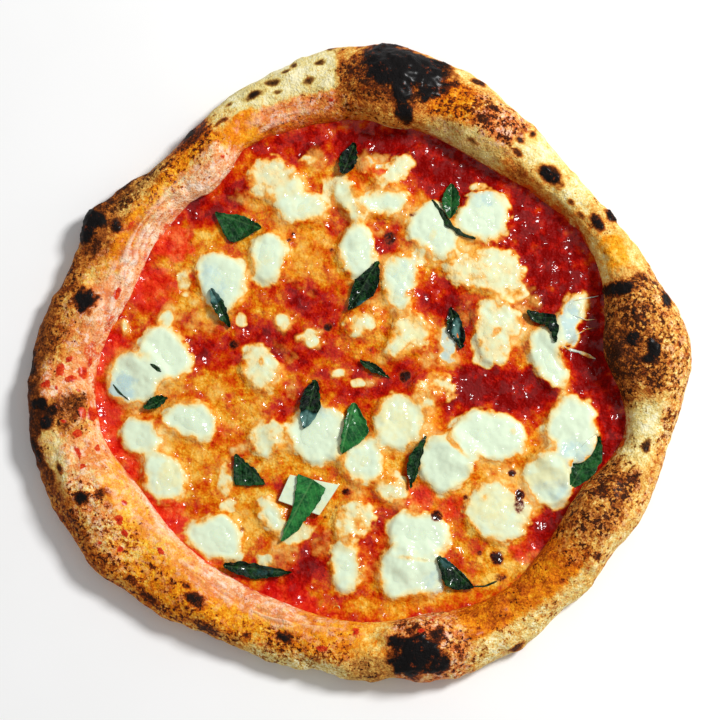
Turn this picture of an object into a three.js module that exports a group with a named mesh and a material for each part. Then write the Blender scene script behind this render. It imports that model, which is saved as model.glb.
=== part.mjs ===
// A margherita pizza baked in a very hot oven: a thin base with a tall, blistered rim, tomato sauce in
// the dish that the rim makes, melted pieces of mozzarella on the sauce, and basil leaves among them.
//
// Millimetres, +Z up. The origin is the middle of the pizza's outline, on the surface it rests on.
// Angles are in degrees and run counter-clockwise from +X, seen from above.

import * as THREE from "three";
import { mergeVertices } from "three/addons/utils/BufferGeometryUtils.js";

// ---------------------------------------------------------------------------------------------
// Driving dimensions

const BASE_THICKNESS = 3.2;
const SAUCE_THICKNESS = 2.2;
const LEAF_THICKNESS = 0.7;
const SLICE_THICKNESS = 2;
const CLEARANCE = 0.3; // between pieces that touch

// The rim, at equal steps round the pizza from +X: the radius of its outer edge, the radius of its inner
// edge, and the height of its crest.
const RIM = {
  outer: [
    160, 149.5, 140.5, 141, 145.5, 155, 157.5, 151, 143.5, 139, 146, 149,
    158.5, 162.5, 161, 155.5, 150.5, 150, 152.5, 158, 158.5, 154, 154.5, 154.5,
  ],
  inner: [
    121, 124.5, 123, 117.5, 114, 117.5, 119, 119, 119, 114, 114, 115.5,
    125, 127.5, 121, 120.5, 120, 121, 125.5, 125.5, 129.5, 125.5, 123, 131.5,
  ],
  crest: [21, 20, 18, 17, 19, 20, 21, 17, 17, 18, 17, 16, 17, 18, 19, 18, 17, 17, 18, 18, 17, 18, 19, 17],
};

// Bubbles that swell out of the rim, and hollows in it. angle: place round the rim. lean: the way the
// bubble faces, seen in a cut through the rim, where 0 is outwards, 90 is up and 180 is inwards. length:
// its size along the rim. girth: its size over the rim, in degrees of the cut. swell: how far it stands
// out, under 0 for a hollow.
const BUBBLES = [
  { angle: 142, lean: 10, length: 18, girth: 90, swell: 3.2 },
  { angle: 218, lean: 10, length: 20, girth: 90, swell: 3.4 },
  { angle: 233, lean: 5, length: 16, girth: 90, swell: 2.6 },
  { angle: 262, lean: 5, length: 18, girth: 90, swell: -3 },
  { angle: 277, lean: 5, length: 18, girth: 90, swell: -3 },
  { angle: 308, lean: 5, length: 20, girth: 90, swell: -2.4 },
  { angle: 323, lean: 5, length: 20, girth: 90, swell: -1.8 },
  { angle: 83, lean: 112, length: 46, girth: 120, swell: 9 },
  { angle: 59, lean: 95, length: 50, girth: 110, swell: 3.5 },
  { angle: 30, lean: 35, length: 12, girth: 50, swell: 3 },
  { angle: 5, lean: 125, length: 70, girth: 130, swell: 7.5 },
  { angle: 326, lean: 100, length: 62, girth: 100, swell: 4.5 },
  { angle: 284, lean: 95, length: 36, girth: 110, swell: 6.5 },
  { angle: 237, lean: 70, length: 34, girth: 80, swell: 3 },
  { angle: 207, lean: 85, length: 38, girth: 90, swell: 4 },
  { angle: 188, lean: 60, length: 34, girth: 90, swell: 3 },
  { angle: 152, lean: 25, length: 20, girth: 80, swell: 7 },
  { angle: 127, lean: 158, length: 38, girth: 105, swell: 9 },
];

// Mozzarella. x, y: the middle of the piece. reach: how far it extends from there, at eight equal steps
// round it from +X. thick: its height in the middle. A long piece has a turn, the angle that its reach
// is counted from, and a stretch, by which it is drawn out that way. A curled one has a bend, the angle
// that it curls through to its left.
const MOZZARELLA = [
  { x: 13.5, y: 91, reach: [3.7, 4, 3.4, 3.8, 3.6, 3.5, 3, 4], thick: 2, turn: 8, stretch: 5, bend: 205 },
  { x: 15, y: 78, reach: [8.5, 8.5, 5.5, 8, 12, 9, 5, 8], thick: 2.7 },
  { x: -28, y: 75, reach: [13, 8.5, 6.5, 8, 13, 8, 6, 8], thick: 2.5 },
  { x: -43.5, y: 51, reach: [7.5, 10, 12, 10.5, 8, 9, 12, 9], thick: 2.8 },
  { x: -4.5, y: 80, reach: [4.2, 4.6, 4, 4.6, 4.2, 4.6, 4.5, 4.6], thick: 2.2, turn: -65, stretch: 3 },
  { x: -1, y: 53, reach: [7.5, 9.5, 13, 9, 9, 9.5, 11, 10], thick: 2.8 },
  { x: -66, y: 38, reach: [10, 12.5, 13, 17, 9.5, 9.5, 14, 11], thick: 2.8 },
  { x: 38, y: 64, reach: [8, 7.5, 14.5, 13, 14, 12, 12.5, 12], thick: 2.6 },
  { x: 60, y: 71, reach: [13, 13, 13, 12, 11.5, 11.5, 12, 12.5], thick: 3.2 },
  { x: 20, y: 41, reach: [6, 12, 12, 11, 8.5, 9.5, 18, 9], thick: 2.4 },
  { x: 61, y: 45, reach: [19, 13, 9, 10, 20, 12, 9, 16], thick: 2.2 },
  { x: 66, y: 15, reach: [11, 14, 14, 14, 9, 10.5, 18, 8], thick: 2.5 },
  { x: 24, y: 11, reach: [10, 12, 12, 9.5, 8, 15, 5, 8], thick: 2.5 },
  { x: 1, y: 19.5, reach: [8, 10, 6, 6, 8, 9, 6.5, 8], thick: 2.3 },
  { x: 91, y: 1, reach: [6.5, 7.2, 6.5, 7.2, 6.6, 7.2, 6.5, 7.2], thick: 3.2, turn: -71, stretch: 2.4 },
  { x: 101, y: 20, reach: [4.5, 4.6, 4.5, 4.8, 4.3, 4.8, 5, 5], thick: 2.2, turn: 68, stretch: 3 },
  { x: 62, y: -36, reach: [18, 12, 11, 13.5, 17, 10.5, 10.5, 14], thick: 3 },
  { x: 103, y: -34, reach: [11, 12, 17, 14, 13, 13, 17, 14], thick: 3 },
  { x: 90, y: -57, reach: [11, 10.5, 13, 12.5, 10.5, 10.5, 13, 11.5], thick: 3 },
  { x: 42, y: -49, reach: [14.5, 10, 12.5, 13.5, 13, 12, 14, 11], thick: 2.8 },
  { x: 66, y: -73, reach: [17, 11, 15.5, 13, 15.5, 13, 14, 15], thick: 2.5 },
  { x: 29, y: -82.5, reach: [12.5, 11, 8.5, 12.5, 13, 13, 9, 14], thick: 3 },
  { x: 25, y: -102, reach: [17, 11.5, 7.5, 14, 14.5, 16.5, 8.5, 14], thick: 3.2 },
  { x: -5, y: -100, reach: [8.5, 9, 10, 11, 6, 8.5, 11, 8], thick: 2.6 },
  { x: -2, y: -76.5, reach: [9.5, 9.5, 9, 8.5, 8.5, 11, 10, 6], thick: 2.2 },
  { x: -19, y: -34, reach: [13, 14.5, 13, 12, 13, 14.5, 14.5, 12], thick: 2.6 },
  { x: 1, y: -48, reach: [9.5, 11, 11, 9, 10, 10.5, 11, 10.5], thick: 2.8 },
  { x: 20, y: -29, reach: [14.5, 12.5, 12.5, 13, 12, 12.5, 13, 12], thick: 2.6 },
  { x: 34, y: -13, reach: [13, 9, 6, 8, 8, 6.5, 8, 8], thick: 1.9 },
  { x: -43.5, y: -37.5, reach: [8, 9, 9, 8.5, 9, 7.5, 8.5, 7.5], thick: 2.2 },
  { x: -47, y: -3.5, reach: [8, 8.5, 10.5, 9.5, 9.5, 8.5, 10, 13], thick: 2.4 },
  { x: -94, y: 3, reach: [12, 10, 12.5, 14, 8, 6, 12, 13], thick: 3 },
  { x: -108, y: -8, reach: [11, 11, 12, 13, 13, 13.5, 11.5, 12], thick: 2.8 },
  { x: -80, y: -28, reach: [10, 9.5, 8, 10, 14, 9, 8.5, 13], thick: 2.6 },
  { x: -104.5, y: -36, reach: [8, 9.5, 7, 9.5, 8, 9, 8, 8.5], thick: 2.6 },
  { x: -93, y: -57, reach: [9, 10, 12, 11, 9, 9.5, 12, 11], thick: 3 },
  { x: -69, y: -84, reach: [12, 11, 9.5, 8, 15, 11, 9, 16], thick: 2.7 },
  { x: -41, y: -75, reach: [4.4, 4.8, 4.5, 4.6, 4.6, 4.6, 4.5, 4.6], thick: 2.4, turn: -55, stretch: 2.4 },
  { x: -42, y: 90, reach: [14, 10, 11, 12, 12, 13, 9, 12], thick: 2 },
  { x: 16, y: -62.5, reach: [7, 7, 6, 6, 7, 6.5, 5.5, 7], thick: 2 },
];

// A slice of mozzarella that was laid on after the baking: its corners, counter-clockwise.
const SLICE_CORNERS = [
  [-38, -67.5],
  [-18.5, -74.5],
  [-9, -60],
  [-32.5, -55],
];

// Basil. from, to: the ends of the leaf's length. left, right: how far its edges lie to the left and to
// the right of that line, at five equal steps along it. A leaf that folds over has both edges on one
// side. under: it went on before the mozzarella. rise: how far its edges stand up.
const BASIL = [
  {
    from: [-70, 73.5], to: [-47, 65.5], rise: 1.2,
    left: [0.3, 1.5, 3, 2.5, 0.3], right: [0.3, 7, 12, 7.5, 0.3],
  },
  {
    from: [-8, 92], to: [-2, 108], rise: 1.6,
    left: [1, 4, 4.5, 3, 0.5], right: [1, 4, 4.5, 3, 0.5],
  },
  {
    from: [44.5, 69.5], to: [45, 87.5], rise: 1,
    left: [0.5, 4, 4.6, 3.5, 0.5], right: [0.5, 3.2, 4.5, 3.5, 0.5],
  },
  {
    from: [9.5, 49], to: [-5, 24.5], rise: 1.4,
    left: [0.5, 5, 7.2, 4.5, 0.3], right: [0.5, 2.5, 5.2, 3, 0.3],
  },
  {
    from: [-71.5, 35.5], to: [-62, 16.5], rise: 1.6,
    left: [0.5, 2.5, 3, 2, 0.3], right: [0.5, 2.6, 3.2, 2.5, 0.3],
  },
  {
    from: [44, 26.5], to: [49.5, 6], rise: 1.4,
    left: [0.5, 3, 3.6, 3.2, 1], right: [0.5, 3, 5, 2.5, 0.8],
  },
  {
    from: [81, 24.5], to: [94.5, 8], rise: 0.6,
    left: [0.5, 4.7, 9, 6.3, 0.8], right: [0.5, 2.2, -1.5, -1.5, 0.8],
  },
  {
    from: [0.5, 0.5], to: [15.5, -8.5], rise: 1.2,
    left: [0.3, 2, 2.3, 1.2, 0.3], right: [0.3, 1.9, 2.2, 1.2, 0.3],
  },
  {
    from: [-20.5, -9], to: [-26, -33], rise: 1.4,
    left: [1, 3.6, 5.5, 4.6, 0.5], right: [1, 4, 5, 3.5, 0.5],
  },
  {
    from: [-2, -20], to: [-8, -45], rise: 1.5,
    left: [0.8, 7, 11, 7, 1.2], right: [0.8, 2.6, 2.2, 2, 0.8],
  },
  {
    from: [32.5, -36.5], to: [25, -62], rise: 1.6,
    left: [0.3, 0.9, 1, 0.9, 0.3], right: [0.3, 3.2, 5.5, 3.6, 0.3],
  },
  {
    from: [101, -61], to: [115, -36], rise: 0.5, under: true,
    left: [1, 4, 5, 4, 1], right: [1, 6, 8, 6, 1],
  },
  {
    from: [-59, -45], to: [-44, -59.5], rise: 1.4,
    left: [0.5, 1.2, 1.6, 1.2, 0.3], right: [0.5, 6.5, 11, 6, 0.3],
  },
  {
    from: [-21.5, -57.5], to: [-37, -87], rise: 0.8,
    left: [7.5, 7.6, 6.6, 5, 0.8], right: [8, 5, 1.8, 0.8, 0.6],
  },
  {
    from: [-64, -98.5], to: [-31, -101.5], rise: 1.6,
    left: [1, 2.8, 2.5, 1.5, 0.3], right: [1, 3.6, 5, 3, 0.3],
  },
  {
    from: [38, -94], to: [55, -109], rise: 1.6,
    left: [1, 1.5, 1.8, 1.3, 0.3], right: [1, 5, 8.6, 6.4, 0.5],
  },
  {
    from: [-103, -23], to: [-91.5, -17.5], rise: 1.1,
    left: [0.5, 2.5, 3.2, 2.5, 0.5], right: [0.5, 2, 2.8, 2, 0.5],
  },
];

// ---------------------------------------------------------------------------------------------
// Small tools

const { degToRad: radians, radToDeg: degrees, lerp, smoothstep } = THREE.MathUtils;
const UP = new THREE.Vector3(0, 0, 1);
const range = (count) => Array.from({ length: count }, (_, index) => index);
const point = (x, y, z) => new THREE.Vector3(x, y, z);

function polar(radius, angle, height) {
  return point(radius * Math.cos(radians(angle)), radius * Math.sin(radians(angle)), height);
}

// A smooth curve through four values, at a share of the way from the second to the third.
function smoothBetween([p0, p1, p2, p3], share) {
  const bend = 2 * p0 - 5 * p1 + 4 * p2 - p3;
  const twist = 3 * (p1 - p2) + p3 - p0;
  return p1 + 0.5 * share * (p2 - p0 + share * (bend + share * twist));
}

// The value at an angle of a measure that is given at equal steps round a full turn.
function roundValue(values, angle) {
  const place = (((angle % 360) + 360) % 360) * (values.length / 360);
  const before = Math.floor(place);
  const four = [-1, 0, 1, 2].map((step) => values[(before + step + values.length) % values.length]);
  return smoothBetween(four, place - before);
}

// The value at a share of the way along a measure that is given at equal steps from end to end.
function alongValue(values, share) {
  const last = values.length - 1;
  const before = Math.min(Math.floor(share * last), last - 1);
  const four = [-1, 0, 1, 2].map((step) => values[Math.min(Math.max(before + step, 0), last)]);
  return smoothBetween(four, share * last - before);
}

// A closed skin from a lower or first pole, over rings of points, to the other pole. otherSplit says
// which strips of the skin have their quads cut along the other diagonal.
function closedSkin(firstPole, rings, lastPole, otherSplit = () => false) {
  const across = rings[0].length;
  const points = [firstPole, ...rings.flat(), lastPole];
  const at = (ring, step) => 1 + ring * across + (step % across);
  const triangles = [];
  for (const step of range(across)) {
    triangles.push(0, at(0, step + 1), at(0, step));
    for (const ring of range(rings.length - 1)) {
      const [a, b] = [at(ring, step), at(ring, step + 1)];
      const [c, d] = [at(ring + 1, step + 1), at(ring + 1, step)];
      triangles.push(...(otherSplit(step) ? [a, b, d, b, c, d] : [a, b, c, a, c, d]));
    }
    triangles.push(points.length - 1, at(rings.length - 1, step), at(rings.length - 1, step + 1));
  }
  const geometry = new THREE.BufferGeometry().setFromPoints(points);
  geometry.setIndex(triangles);
  geometry.computeVertexNormals();
  return geometry;
}

// ---------------------------------------------------------------------------------------------
// Crust: the base and the rim, one piece of dough. The rim's skin is where rays from the rim's core, in
// a cut through it, leave the dough.

const CRUST_STEPS = 120; // round the pizza
const CUT_ANGLES = [-90, -62, -38, -15, 8, 30, 50, 70, 90, 110, 130, 150, 170, 186];
const CORE_SHARE = 0.52; // the core's place from the rim's inner edge to its outer edge
const CORE_HEIGHT_SHARE = 0.45; // of the crest's height
const FOOT_SQUARENESS = 0.65; // under 1, so that the rim's underside stays low before it turns up
const UNEVENNESS = [
  { height: 0.7, waves: 7, slant: 0 },
  { height: 0.5, waves: 13, slant: 3 },
  { height: 0.35, waves: 23, slant: -2 },
];

// How far the bubbles and the dough's own unevenness stand out of the rim at one place on its skin.
function swellAt(angle, cut) {
  const radius = roundValue(RIM.outer, angle);
  const bubbles = BUBBLES.map(({ angle: middle, lean, length, girth, swell }) => {
    const turn = ((angle - middle + 540) % 360) - 180;
    const along = (radians(turn) * radius) / (length / 2);
    const over = (cut - lean) / (girth / 2);
    return swell * Math.exp(-((along * along + over * over) ** 1.6));
  });
  const waves = UNEVENNESS.map(
    ({ height, waves: count, slant }) => height * Math.sin(radians(count * angle + slant * cut)),
  );
  return [...bubbles, ...waves].reduce((sum, part) => sum + part, 0);
}

function rimPoint(cut, step) {
  const angle = (360 * step) / CRUST_STEPS;
  const [outer, inner, crest] = [RIM.outer, RIM.inner, RIM.crest].map((m) => roundValue(m, angle));
  const coreRadius = lerp(inner, outer, CORE_SHARE);
  const coreHeight = crest * CORE_HEIGHT_SHARE;
  const cosine = Math.cos(radians(cut));
  const sine = Math.sin(radians(cut));
  const halfWidth = cosine > 0 ? outer - coreRadius : coreRadius - inner;
  const foot = cut < 0 ? FOOT_SQUARENESS : 1;
  const reach = Math.sign(cosine) * Math.abs(cosine) ** foot * halfWidth;
  const rise = cut < 0 ? -(Math.abs(sine) ** foot) * coreHeight : sine * (crest - coreHeight);
  // The foot and the lower inner wall keep their places, and the swell comes in above them.
  const free = smoothstep(cut, -70, 0) * (1 - smoothstep(cut, 165, 192));
  const swell = swellAt(angle, cut) * free;
  const height = Math.max(0, coreHeight + rise + swell * sine);
  return polar(coreRadius + reach + swell * cosine, angle, height);
}

function crustGeometry() {
  const rings = CUT_ANGLES.map((cut) => range(CRUST_STEPS).map((step) => rimPoint(cut, step)));
  const dishEdge = range(CRUST_STEPS).map((step) => {
    const angle = (360 * step) / CRUST_STEPS;
    return polar(roundValue(RIM.inner, angle), angle, BASE_THICKNESS);
  });
  return closedSkin(point(0, 0, 0), [...rings, dishEdge], point(0, 0, BASE_THICKNESS));
}

// Round the dish, the largest radius that something on the sauce can have before it meets the rim or a
// bubble that hangs over the sauce.
const ROOM_HEIGHT = 9; // above the dish
const ROOM_GAP = 1.6;
const ROOM = range(CRUST_STEPS).map((step) => {
  const walls = CUT_ANGLES.filter((cut) => cut > 90).map((cut) => rimPoint(cut, step));
  const low = walls.filter((wall) => wall.z < BASE_THICKNESS + ROOM_HEIGHT);
  return Math.min(...low.map((wall) => Math.hypot(wall.x, wall.y))) - ROOM_GAP;
});

// A place in plan, moved towards the middle where it would meet the rim.
function insideRim(x, y) {
  const angle = (degrees(Math.atan2(y, x)) + 360) % 360;
  const before = Math.floor((angle * CRUST_STEPS) / 360) % CRUST_STEPS;
  const room = Math.min(ROOM[before], ROOM[(before + 1) % CRUST_STEPS]);
  const share = Math.min(1, room / Math.hypot(x, y));
  return [x * share, y * share];
}

// ---------------------------------------------------------------------------------------------
// Tomato sauce: a thin, gently uneven layer that fills the dish inside the rim

const SAUCE_STEPS = 72;
const SAUCE_RINGS = [0.94, 0.8, 0.62, 0.42, 0.2]; // shares of the way to its edge
const SAUCE_EDGE_GAP = 1.2; // from the rim's inner wall
const SAUCE_EDGE_SHARE = 0.6; // of its thickness
const SAUCE_UNDERSIDE = BASE_THICKNESS + CLEARANCE;

function sauceTop(x, y) {
  const mounds =
    0.22 * Math.sin(x / 11 + 0.6) * Math.cos(y / 13) +
    0.16 * Math.sin((x + y) / 17 + 2) +
    0.12 * Math.cos((x - 2 * y) / 21);
  return SAUCE_UNDERSIDE + SAUCE_THICKNESS + mounds;
}

function sauceGeometry() {
  const ring = (share, height) =>
    range(SAUCE_STEPS).map((step) => {
      const angle = (360 * step) / SAUCE_STEPS;
      const place = polar(share * (roundValue(RIM.inner, angle) - SAUCE_EDGE_GAP), angle, 0);
      return place.setZ(height(place.x, place.y));
    });
  const rings = [
    ring(1, () => SAUCE_UNDERSIDE),
    ring(1, () => SAUCE_UNDERSIDE + SAUCE_EDGE_SHARE * SAUCE_THICKNESS),
    ...SAUCE_RINGS.map((share) => ring(share, sauceTop)),
  ];
  return closedSkin(point(0, 0, SAUCE_UNDERSIDE), rings, point(0, 0, sauceTop(0, 0)));
}

// ---------------------------------------------------------------------------------------------
// The pile: the height of the toppings laid so far, on a square grid of 1 mm, so that each topping can
// be laid on the sauce and on the toppings under it

const PILE_HALF = 140; // half the side of the grid
const PILE_SIDE = 2 * PILE_HALF + 1;
const pile = new Float32Array(PILE_SIDE * PILE_SIDE);
const cellAt = (column, row) => (row + PILE_HALF) * PILE_SIDE + column + PILE_HALF;

// The lowest height that clears the sauce and every topping within reach of a place.
function restingHeight(x, y, reach) {
  const whole = Math.ceil(reach);
  const cells = range(2 * whole + 1).map((step) => step - whole);
  let height = sauceTop(x, y);
  for (const down of cells) {
    for (const across of cells) {
      if (Math.hypot(across, down) > reach) continue;
      height = Math.max(height, pile[cellAt(Math.round(x) + across, Math.round(y) + down)]);
    }
  }
  return height + CLEARANCE;
}

// Raises the pile to the upper faces of a topping.
function layOnPile(geometry) {
  const position = geometry.getAttribute("position");
  const index = geometry.getIndex();
  const corner = (i) => point().fromBufferAttribute(position, index.getX(i));
  for (let first = 0; first < index.count; first += 3) {
    const corners = [corner(first), corner(first + 1), corner(first + 2)];
    const face = new THREE.Triangle(...corners);
    if (face.getNormal(point()).z < 0.05) continue;
    const box = new THREE.Box3().setFromPoints(corners).expandByScalar(1);
    for (let y = Math.ceil(box.min.y); y <= box.max.y; y += 1) {
      for (let x = Math.ceil(box.min.x); x <= box.max.x; x += 1) {
        const near = face.closestPointToPoint(point(x, y, box.max.z), point());
        if (Math.hypot(near.x - x, near.y - y) > 1) continue;
        pile[cellAt(x, y)] = Math.max(pile[cellAt(x, y)], near.z);
      }
    }
  }
}

// ---------------------------------------------------------------------------------------------
// Mozzarella: soft pieces that have melted to low domes with uneven edges

const CHEESE_STEPS = 16;
const CHEESE_EDGE_SHARE = 0.45; // of the thickness in the middle
const CHEESE_REACH = 5;

// The place in plan of a point of the piece, at a share of the way from its middle to its edge.
function cheesePlace(piece, share, step) {
  const angle = (360 * step) / CHEESE_STEPS;
  const local = polar(share * roundValue(piece.reach, angle), angle, 0);
  const stretch = piece.stretch ?? 1;
  local.x *= stretch;
  if (piece.bend) {
    const radius = (stretch * (piece.reach[0] + piece.reach[4])) / radians(piece.bend);
    const swing = local.x / radius;
    const inwards = radius - local.y;
    local.set(inwards * Math.sin(swing), radius - inwards * Math.cos(swing), 0);
  }
  local.applyAxisAngle(UP, radians(piece.turn ?? 0));
  return insideRim(piece.x + local.x, piece.y + local.y);
}

function cheeseGeometry(piece) {
  const dome = (share) => piece.thick * (1 - (1 - CHEESE_EDGE_SHARE) * share ** 3);
  const place = (share, step, lift) => {
    const [x, y] = cheesePlace(piece, share, step);
    return point(x, y, restingHeight(x, y, CHEESE_REACH) + lift);
  };
  const ring = (share, lift) => range(CHEESE_STEPS).map((step) => place(share, step, lift));
  const rings = [
    ring(0.55, 0),
    ring(0.93, 0),
    ring(1, 0.5 * dome(1)),
    ring(0.9, dome(0.9)),
    ring(0.5, dome(0.5)),
  ];
  return closedSkin(place(0, 0, 0), rings, place(0, 0, dome(0)));
}

// The slice has not melted, so it keeps its corners and its thickness.
function sliceGeometry() {
  const corners = SLICE_CORNERS.map(([x, y]) => new THREE.Vector2(x, y));
  const middle = new THREE.Box2().setFromPoints(corners).getCenter(new THREE.Vector2());
  const reach = Math.max(...corners.map((corner) => corner.distanceTo(middle)));
  const settings = { depth: SLICE_THICKNESS, bevelEnabled: false };
  const geometry = new THREE.ExtrudeGeometry(new THREE.Shape(corners), settings);
  geometry.translate(0, 0, restingHeight(middle.x, middle.y, reach));
  geometry.deleteAttribute("normal");
  geometry.deleteAttribute("uv");
  return mergeVertices(geometry);
}

// ---------------------------------------------------------------------------------------------
// Basil: thin wavy leaves, each a strip of cross-sections from end to end

const LEAF_CUTS = 6;
const LEAF_COLUMNS = [0, 0.25, 0.5, 0.75, 1]; // from a leaf's right edge to its left edge
const LEAF_REACH = 5.5;
const LEAF_WAVES = 1.6; // along a leaf

function leafGeometry(leaf, number) {
  const start = new THREE.Vector2(...leaf.from);
  const length = new THREE.Vector2(...leaf.to).sub(start);
  const leftward = new THREE.Vector2(-length.y, length.x).normalize();
  const place = (share, column, lift) => {
    const across = lerp(-alongValue(leaf.right, share), alongValue(leaf.left, share), column);
    const spot = start.clone().addScaledVector(length, share).addScaledVector(leftward, across);
    const [x, y] = insideRim(spot.x, spot.y);
    const edge = Math.abs(2 * column - 1);
    const wave = 0.5 + 0.5 * Math.sin(2 * Math.PI * LEAF_WAVES * share + number + 2 * column);
    const curl = leaf.rise * edge * (0.4 * edge + 0.6 * wave);
    return point(x, y, restingHeight(x, y, LEAF_REACH) + curl + lift);
  };
  const section = (share) => [
    ...LEAF_COLUMNS.map((column) => place(share, column, 0)),
    ...LEAF_COLUMNS.toReversed().map((column) => place(share, column, LEAF_THICKNESS)),
  ];
  const shares = range(LEAF_CUTS).map((cut) => 0.04 + (0.92 * cut) / (LEAF_CUTS - 1));
  return closedSkin(
    place(0, 0.5, LEAF_THICKNESS / 2),
    shares.map(section),
    place(1, 0.5, LEAF_THICKNESS / 2),
    (step) => step >= LEAF_COLUMNS.length,
  );
}

// ---------------------------------------------------------------------------------------------
// Assembly

const MATERIALS = {
  crust: new THREE.MeshStandardMaterial({ color: 0xdcae6a, roughness: 0.85, metalness: 0 }),
  sauce: new THREE.MeshStandardMaterial({ color: 0xc4300f, roughness: 0.35, metalness: 0 }),
  mozzarella: new THREE.MeshStandardMaterial({ color: 0xf1efd6, roughness: 0.3, metalness: 0 }),
  basil: new THREE.MeshStandardMaterial({ color: 0x1f5a2c, roughness: 0.4, metalness: 0 }),
};

const pizza = new THREE.Group();

function add(name, geometry, material) {
  const mesh = new THREE.Mesh(geometry, material);
  mesh.name = name;
  pizza.add(mesh);
}

// Adds toppings in the order in which they were laid, each on the pile that the earlier ones make.
function addTopping(name, geometry, material) {
  layOnPile(geometry);
  add(name, geometry, material);
}

const numbered = (name, index) => `${name}_${String(index + 1).padStart(2, "0")}`;

function addLeaves(wanted) {
  BASIL.forEach((leaf, index) => {
    if (!wanted(leaf)) return;
    addTopping(numbered("basil", index), leafGeometry(leaf, index), MATERIALS.basil);
  });
}

add("crust", crustGeometry(), MATERIALS.crust);
add("tomato_sauce", sauceGeometry(), MATERIALS.sauce);
addLeaves((leaf) => leaf.under);
MOZZARELLA.forEach((piece, index) => {
  addTopping(numbered("mozzarella", index), cheeseGeometry(piece), MATERIALS.mozzarella);
});
addTopping("mozzarella_slice", sliceGeometry(), MATERIALS.mozzarella);
addLeaves((leaf) => !leaf.under);

// The outline is uneven, so the whole is moved until the origin is in the middle of it.
const outline = new THREE.Box3().setFromObject(pizza).getCenter(point());
pizza.children.forEach((mesh) => mesh.position.set(-outline.x, -outline.y, 0));

export default pizza;
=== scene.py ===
"""Margherita pizza: the dressed model of a pizza baked in a very hot oven.

Each piece follows the solid that it replaces. Sizes are in metres unless a name or a comment says mm, and
places on the pizza are in mm from the middle of its dish. Angles are in degrees, counter-clockwise from +X.
"""

import math

import bpy
import numpy as np
from mathutils import Matrix, Vector
from mathutils.bvhtree import BVHTree


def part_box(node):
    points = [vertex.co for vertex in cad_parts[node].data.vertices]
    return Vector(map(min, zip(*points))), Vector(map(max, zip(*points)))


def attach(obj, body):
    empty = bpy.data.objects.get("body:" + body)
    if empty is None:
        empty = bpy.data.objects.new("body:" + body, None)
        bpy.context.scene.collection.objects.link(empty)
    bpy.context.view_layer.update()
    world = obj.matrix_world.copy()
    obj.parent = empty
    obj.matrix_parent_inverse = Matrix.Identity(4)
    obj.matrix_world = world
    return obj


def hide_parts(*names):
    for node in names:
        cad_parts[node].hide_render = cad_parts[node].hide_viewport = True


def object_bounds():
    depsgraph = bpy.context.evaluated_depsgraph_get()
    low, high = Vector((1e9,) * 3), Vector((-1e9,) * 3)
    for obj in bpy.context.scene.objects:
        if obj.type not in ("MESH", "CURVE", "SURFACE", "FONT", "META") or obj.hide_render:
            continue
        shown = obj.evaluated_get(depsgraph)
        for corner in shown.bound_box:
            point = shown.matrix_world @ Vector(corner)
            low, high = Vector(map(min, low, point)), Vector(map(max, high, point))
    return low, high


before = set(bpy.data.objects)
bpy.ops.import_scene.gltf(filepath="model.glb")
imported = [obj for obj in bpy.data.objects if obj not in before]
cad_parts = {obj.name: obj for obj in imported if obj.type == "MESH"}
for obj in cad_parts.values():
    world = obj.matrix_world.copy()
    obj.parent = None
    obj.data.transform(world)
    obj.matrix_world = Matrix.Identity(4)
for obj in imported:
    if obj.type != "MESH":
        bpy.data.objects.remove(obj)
solid_box = [list(corner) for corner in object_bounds()]

# ==========================================================================================
# Crust
# One round of soft wheat dough, pressed out thin by hand so that the air goes to its edge, and baked
# in about a minute and a half. The edge has blown up into a tall rim with bubbles, pale where it kept
# cool, freckled and charred where the flame met it, and stained by sauce and oil on its inner slope.

MM = 0.001
DISH_MIDDLE = np.array([-0.4, -1.5])  # mm, from the middle of the pizza's outline
ORIGIN = np.array([*DISH_MIDDLE * MM, 0.0])
ABOVE = 0.05  # higher than any part of the pizza
SCATTER = [73856093, 19349663, 83492791]  # primes that mix the numbers of a cell


def skin_of(node):
    """The faces of a solid, ready for rays to be cast at them."""
    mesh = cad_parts[node].data
    points = [v.co.copy() for v in mesh.vertices]
    return BVHTree.FromPolygons(points, [list(p.vertices) for p in mesh.polygons])


def top_of(solid, x, y):
    """The height of a solid's top, felt by a ray from above, and 0 beside the solid."""
    hit = solid.ray_cast(Vector((x, y, ABOVE)), Vector((0, 0, -1)))[0]
    return hit.z if hit else 0


def soften(field, widths, wraps):
    """A field smoothed along its axes. wraps says which axes close on themselves."""
    for axis, (width, wrap) in enumerate(zip(widths, wraps)):
        if width <= 0:
            continue
        reach = int(math.ceil(3 * width))
        weights = np.exp(-0.5 * (np.arange(-reach, reach + 1) / width) ** 2)
        weights /= weights.sum()
        pads = [(0, 0)] * field.ndim
        pads[axis] = (reach, reach)
        padded = np.pad(field, pads, mode="wrap" if wrap else "edge")
        count = field.shape[axis]
        field = sum(w * np.take(padded, range(i, i + count), axis=axis) for i, w in enumerate(weights))
    return field


def lumps(points, size, seed):
    """Smooth random unevenness from -1 to 1, with lumps of a size in mm, at points in mm."""
    places = points / size
    base = np.floor(places).astype(np.int64)
    share = places - base
    share = share * share * (3 - 2 * share)
    total = np.zeros(points.shape[:-1])
    for corner in np.ndindex(2, 2, 2):
        cell = base + corner
        mixed = np.bitwise_xor.reduce(cell * SCATTER, axis=-1) ^ seed * 2654435761
        mixed = (mixed ^ (mixed >> 13)) * 1274126177 & 0xFFFFFFFF
        value = ((mixed ^ (mixed >> 16)) & 0xFFFF) / 32767.5 - 1
        total += np.prod(np.where(corner, share, 1 - share), axis=-1) * value
    return total


def ease(value, low, high):
    """0 below low, 1 above high, and a smooth rise between."""
    share = np.clip((value - low) / (high - low), 0, 1)
    return share * share * (3 - 2 * share)


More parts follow.
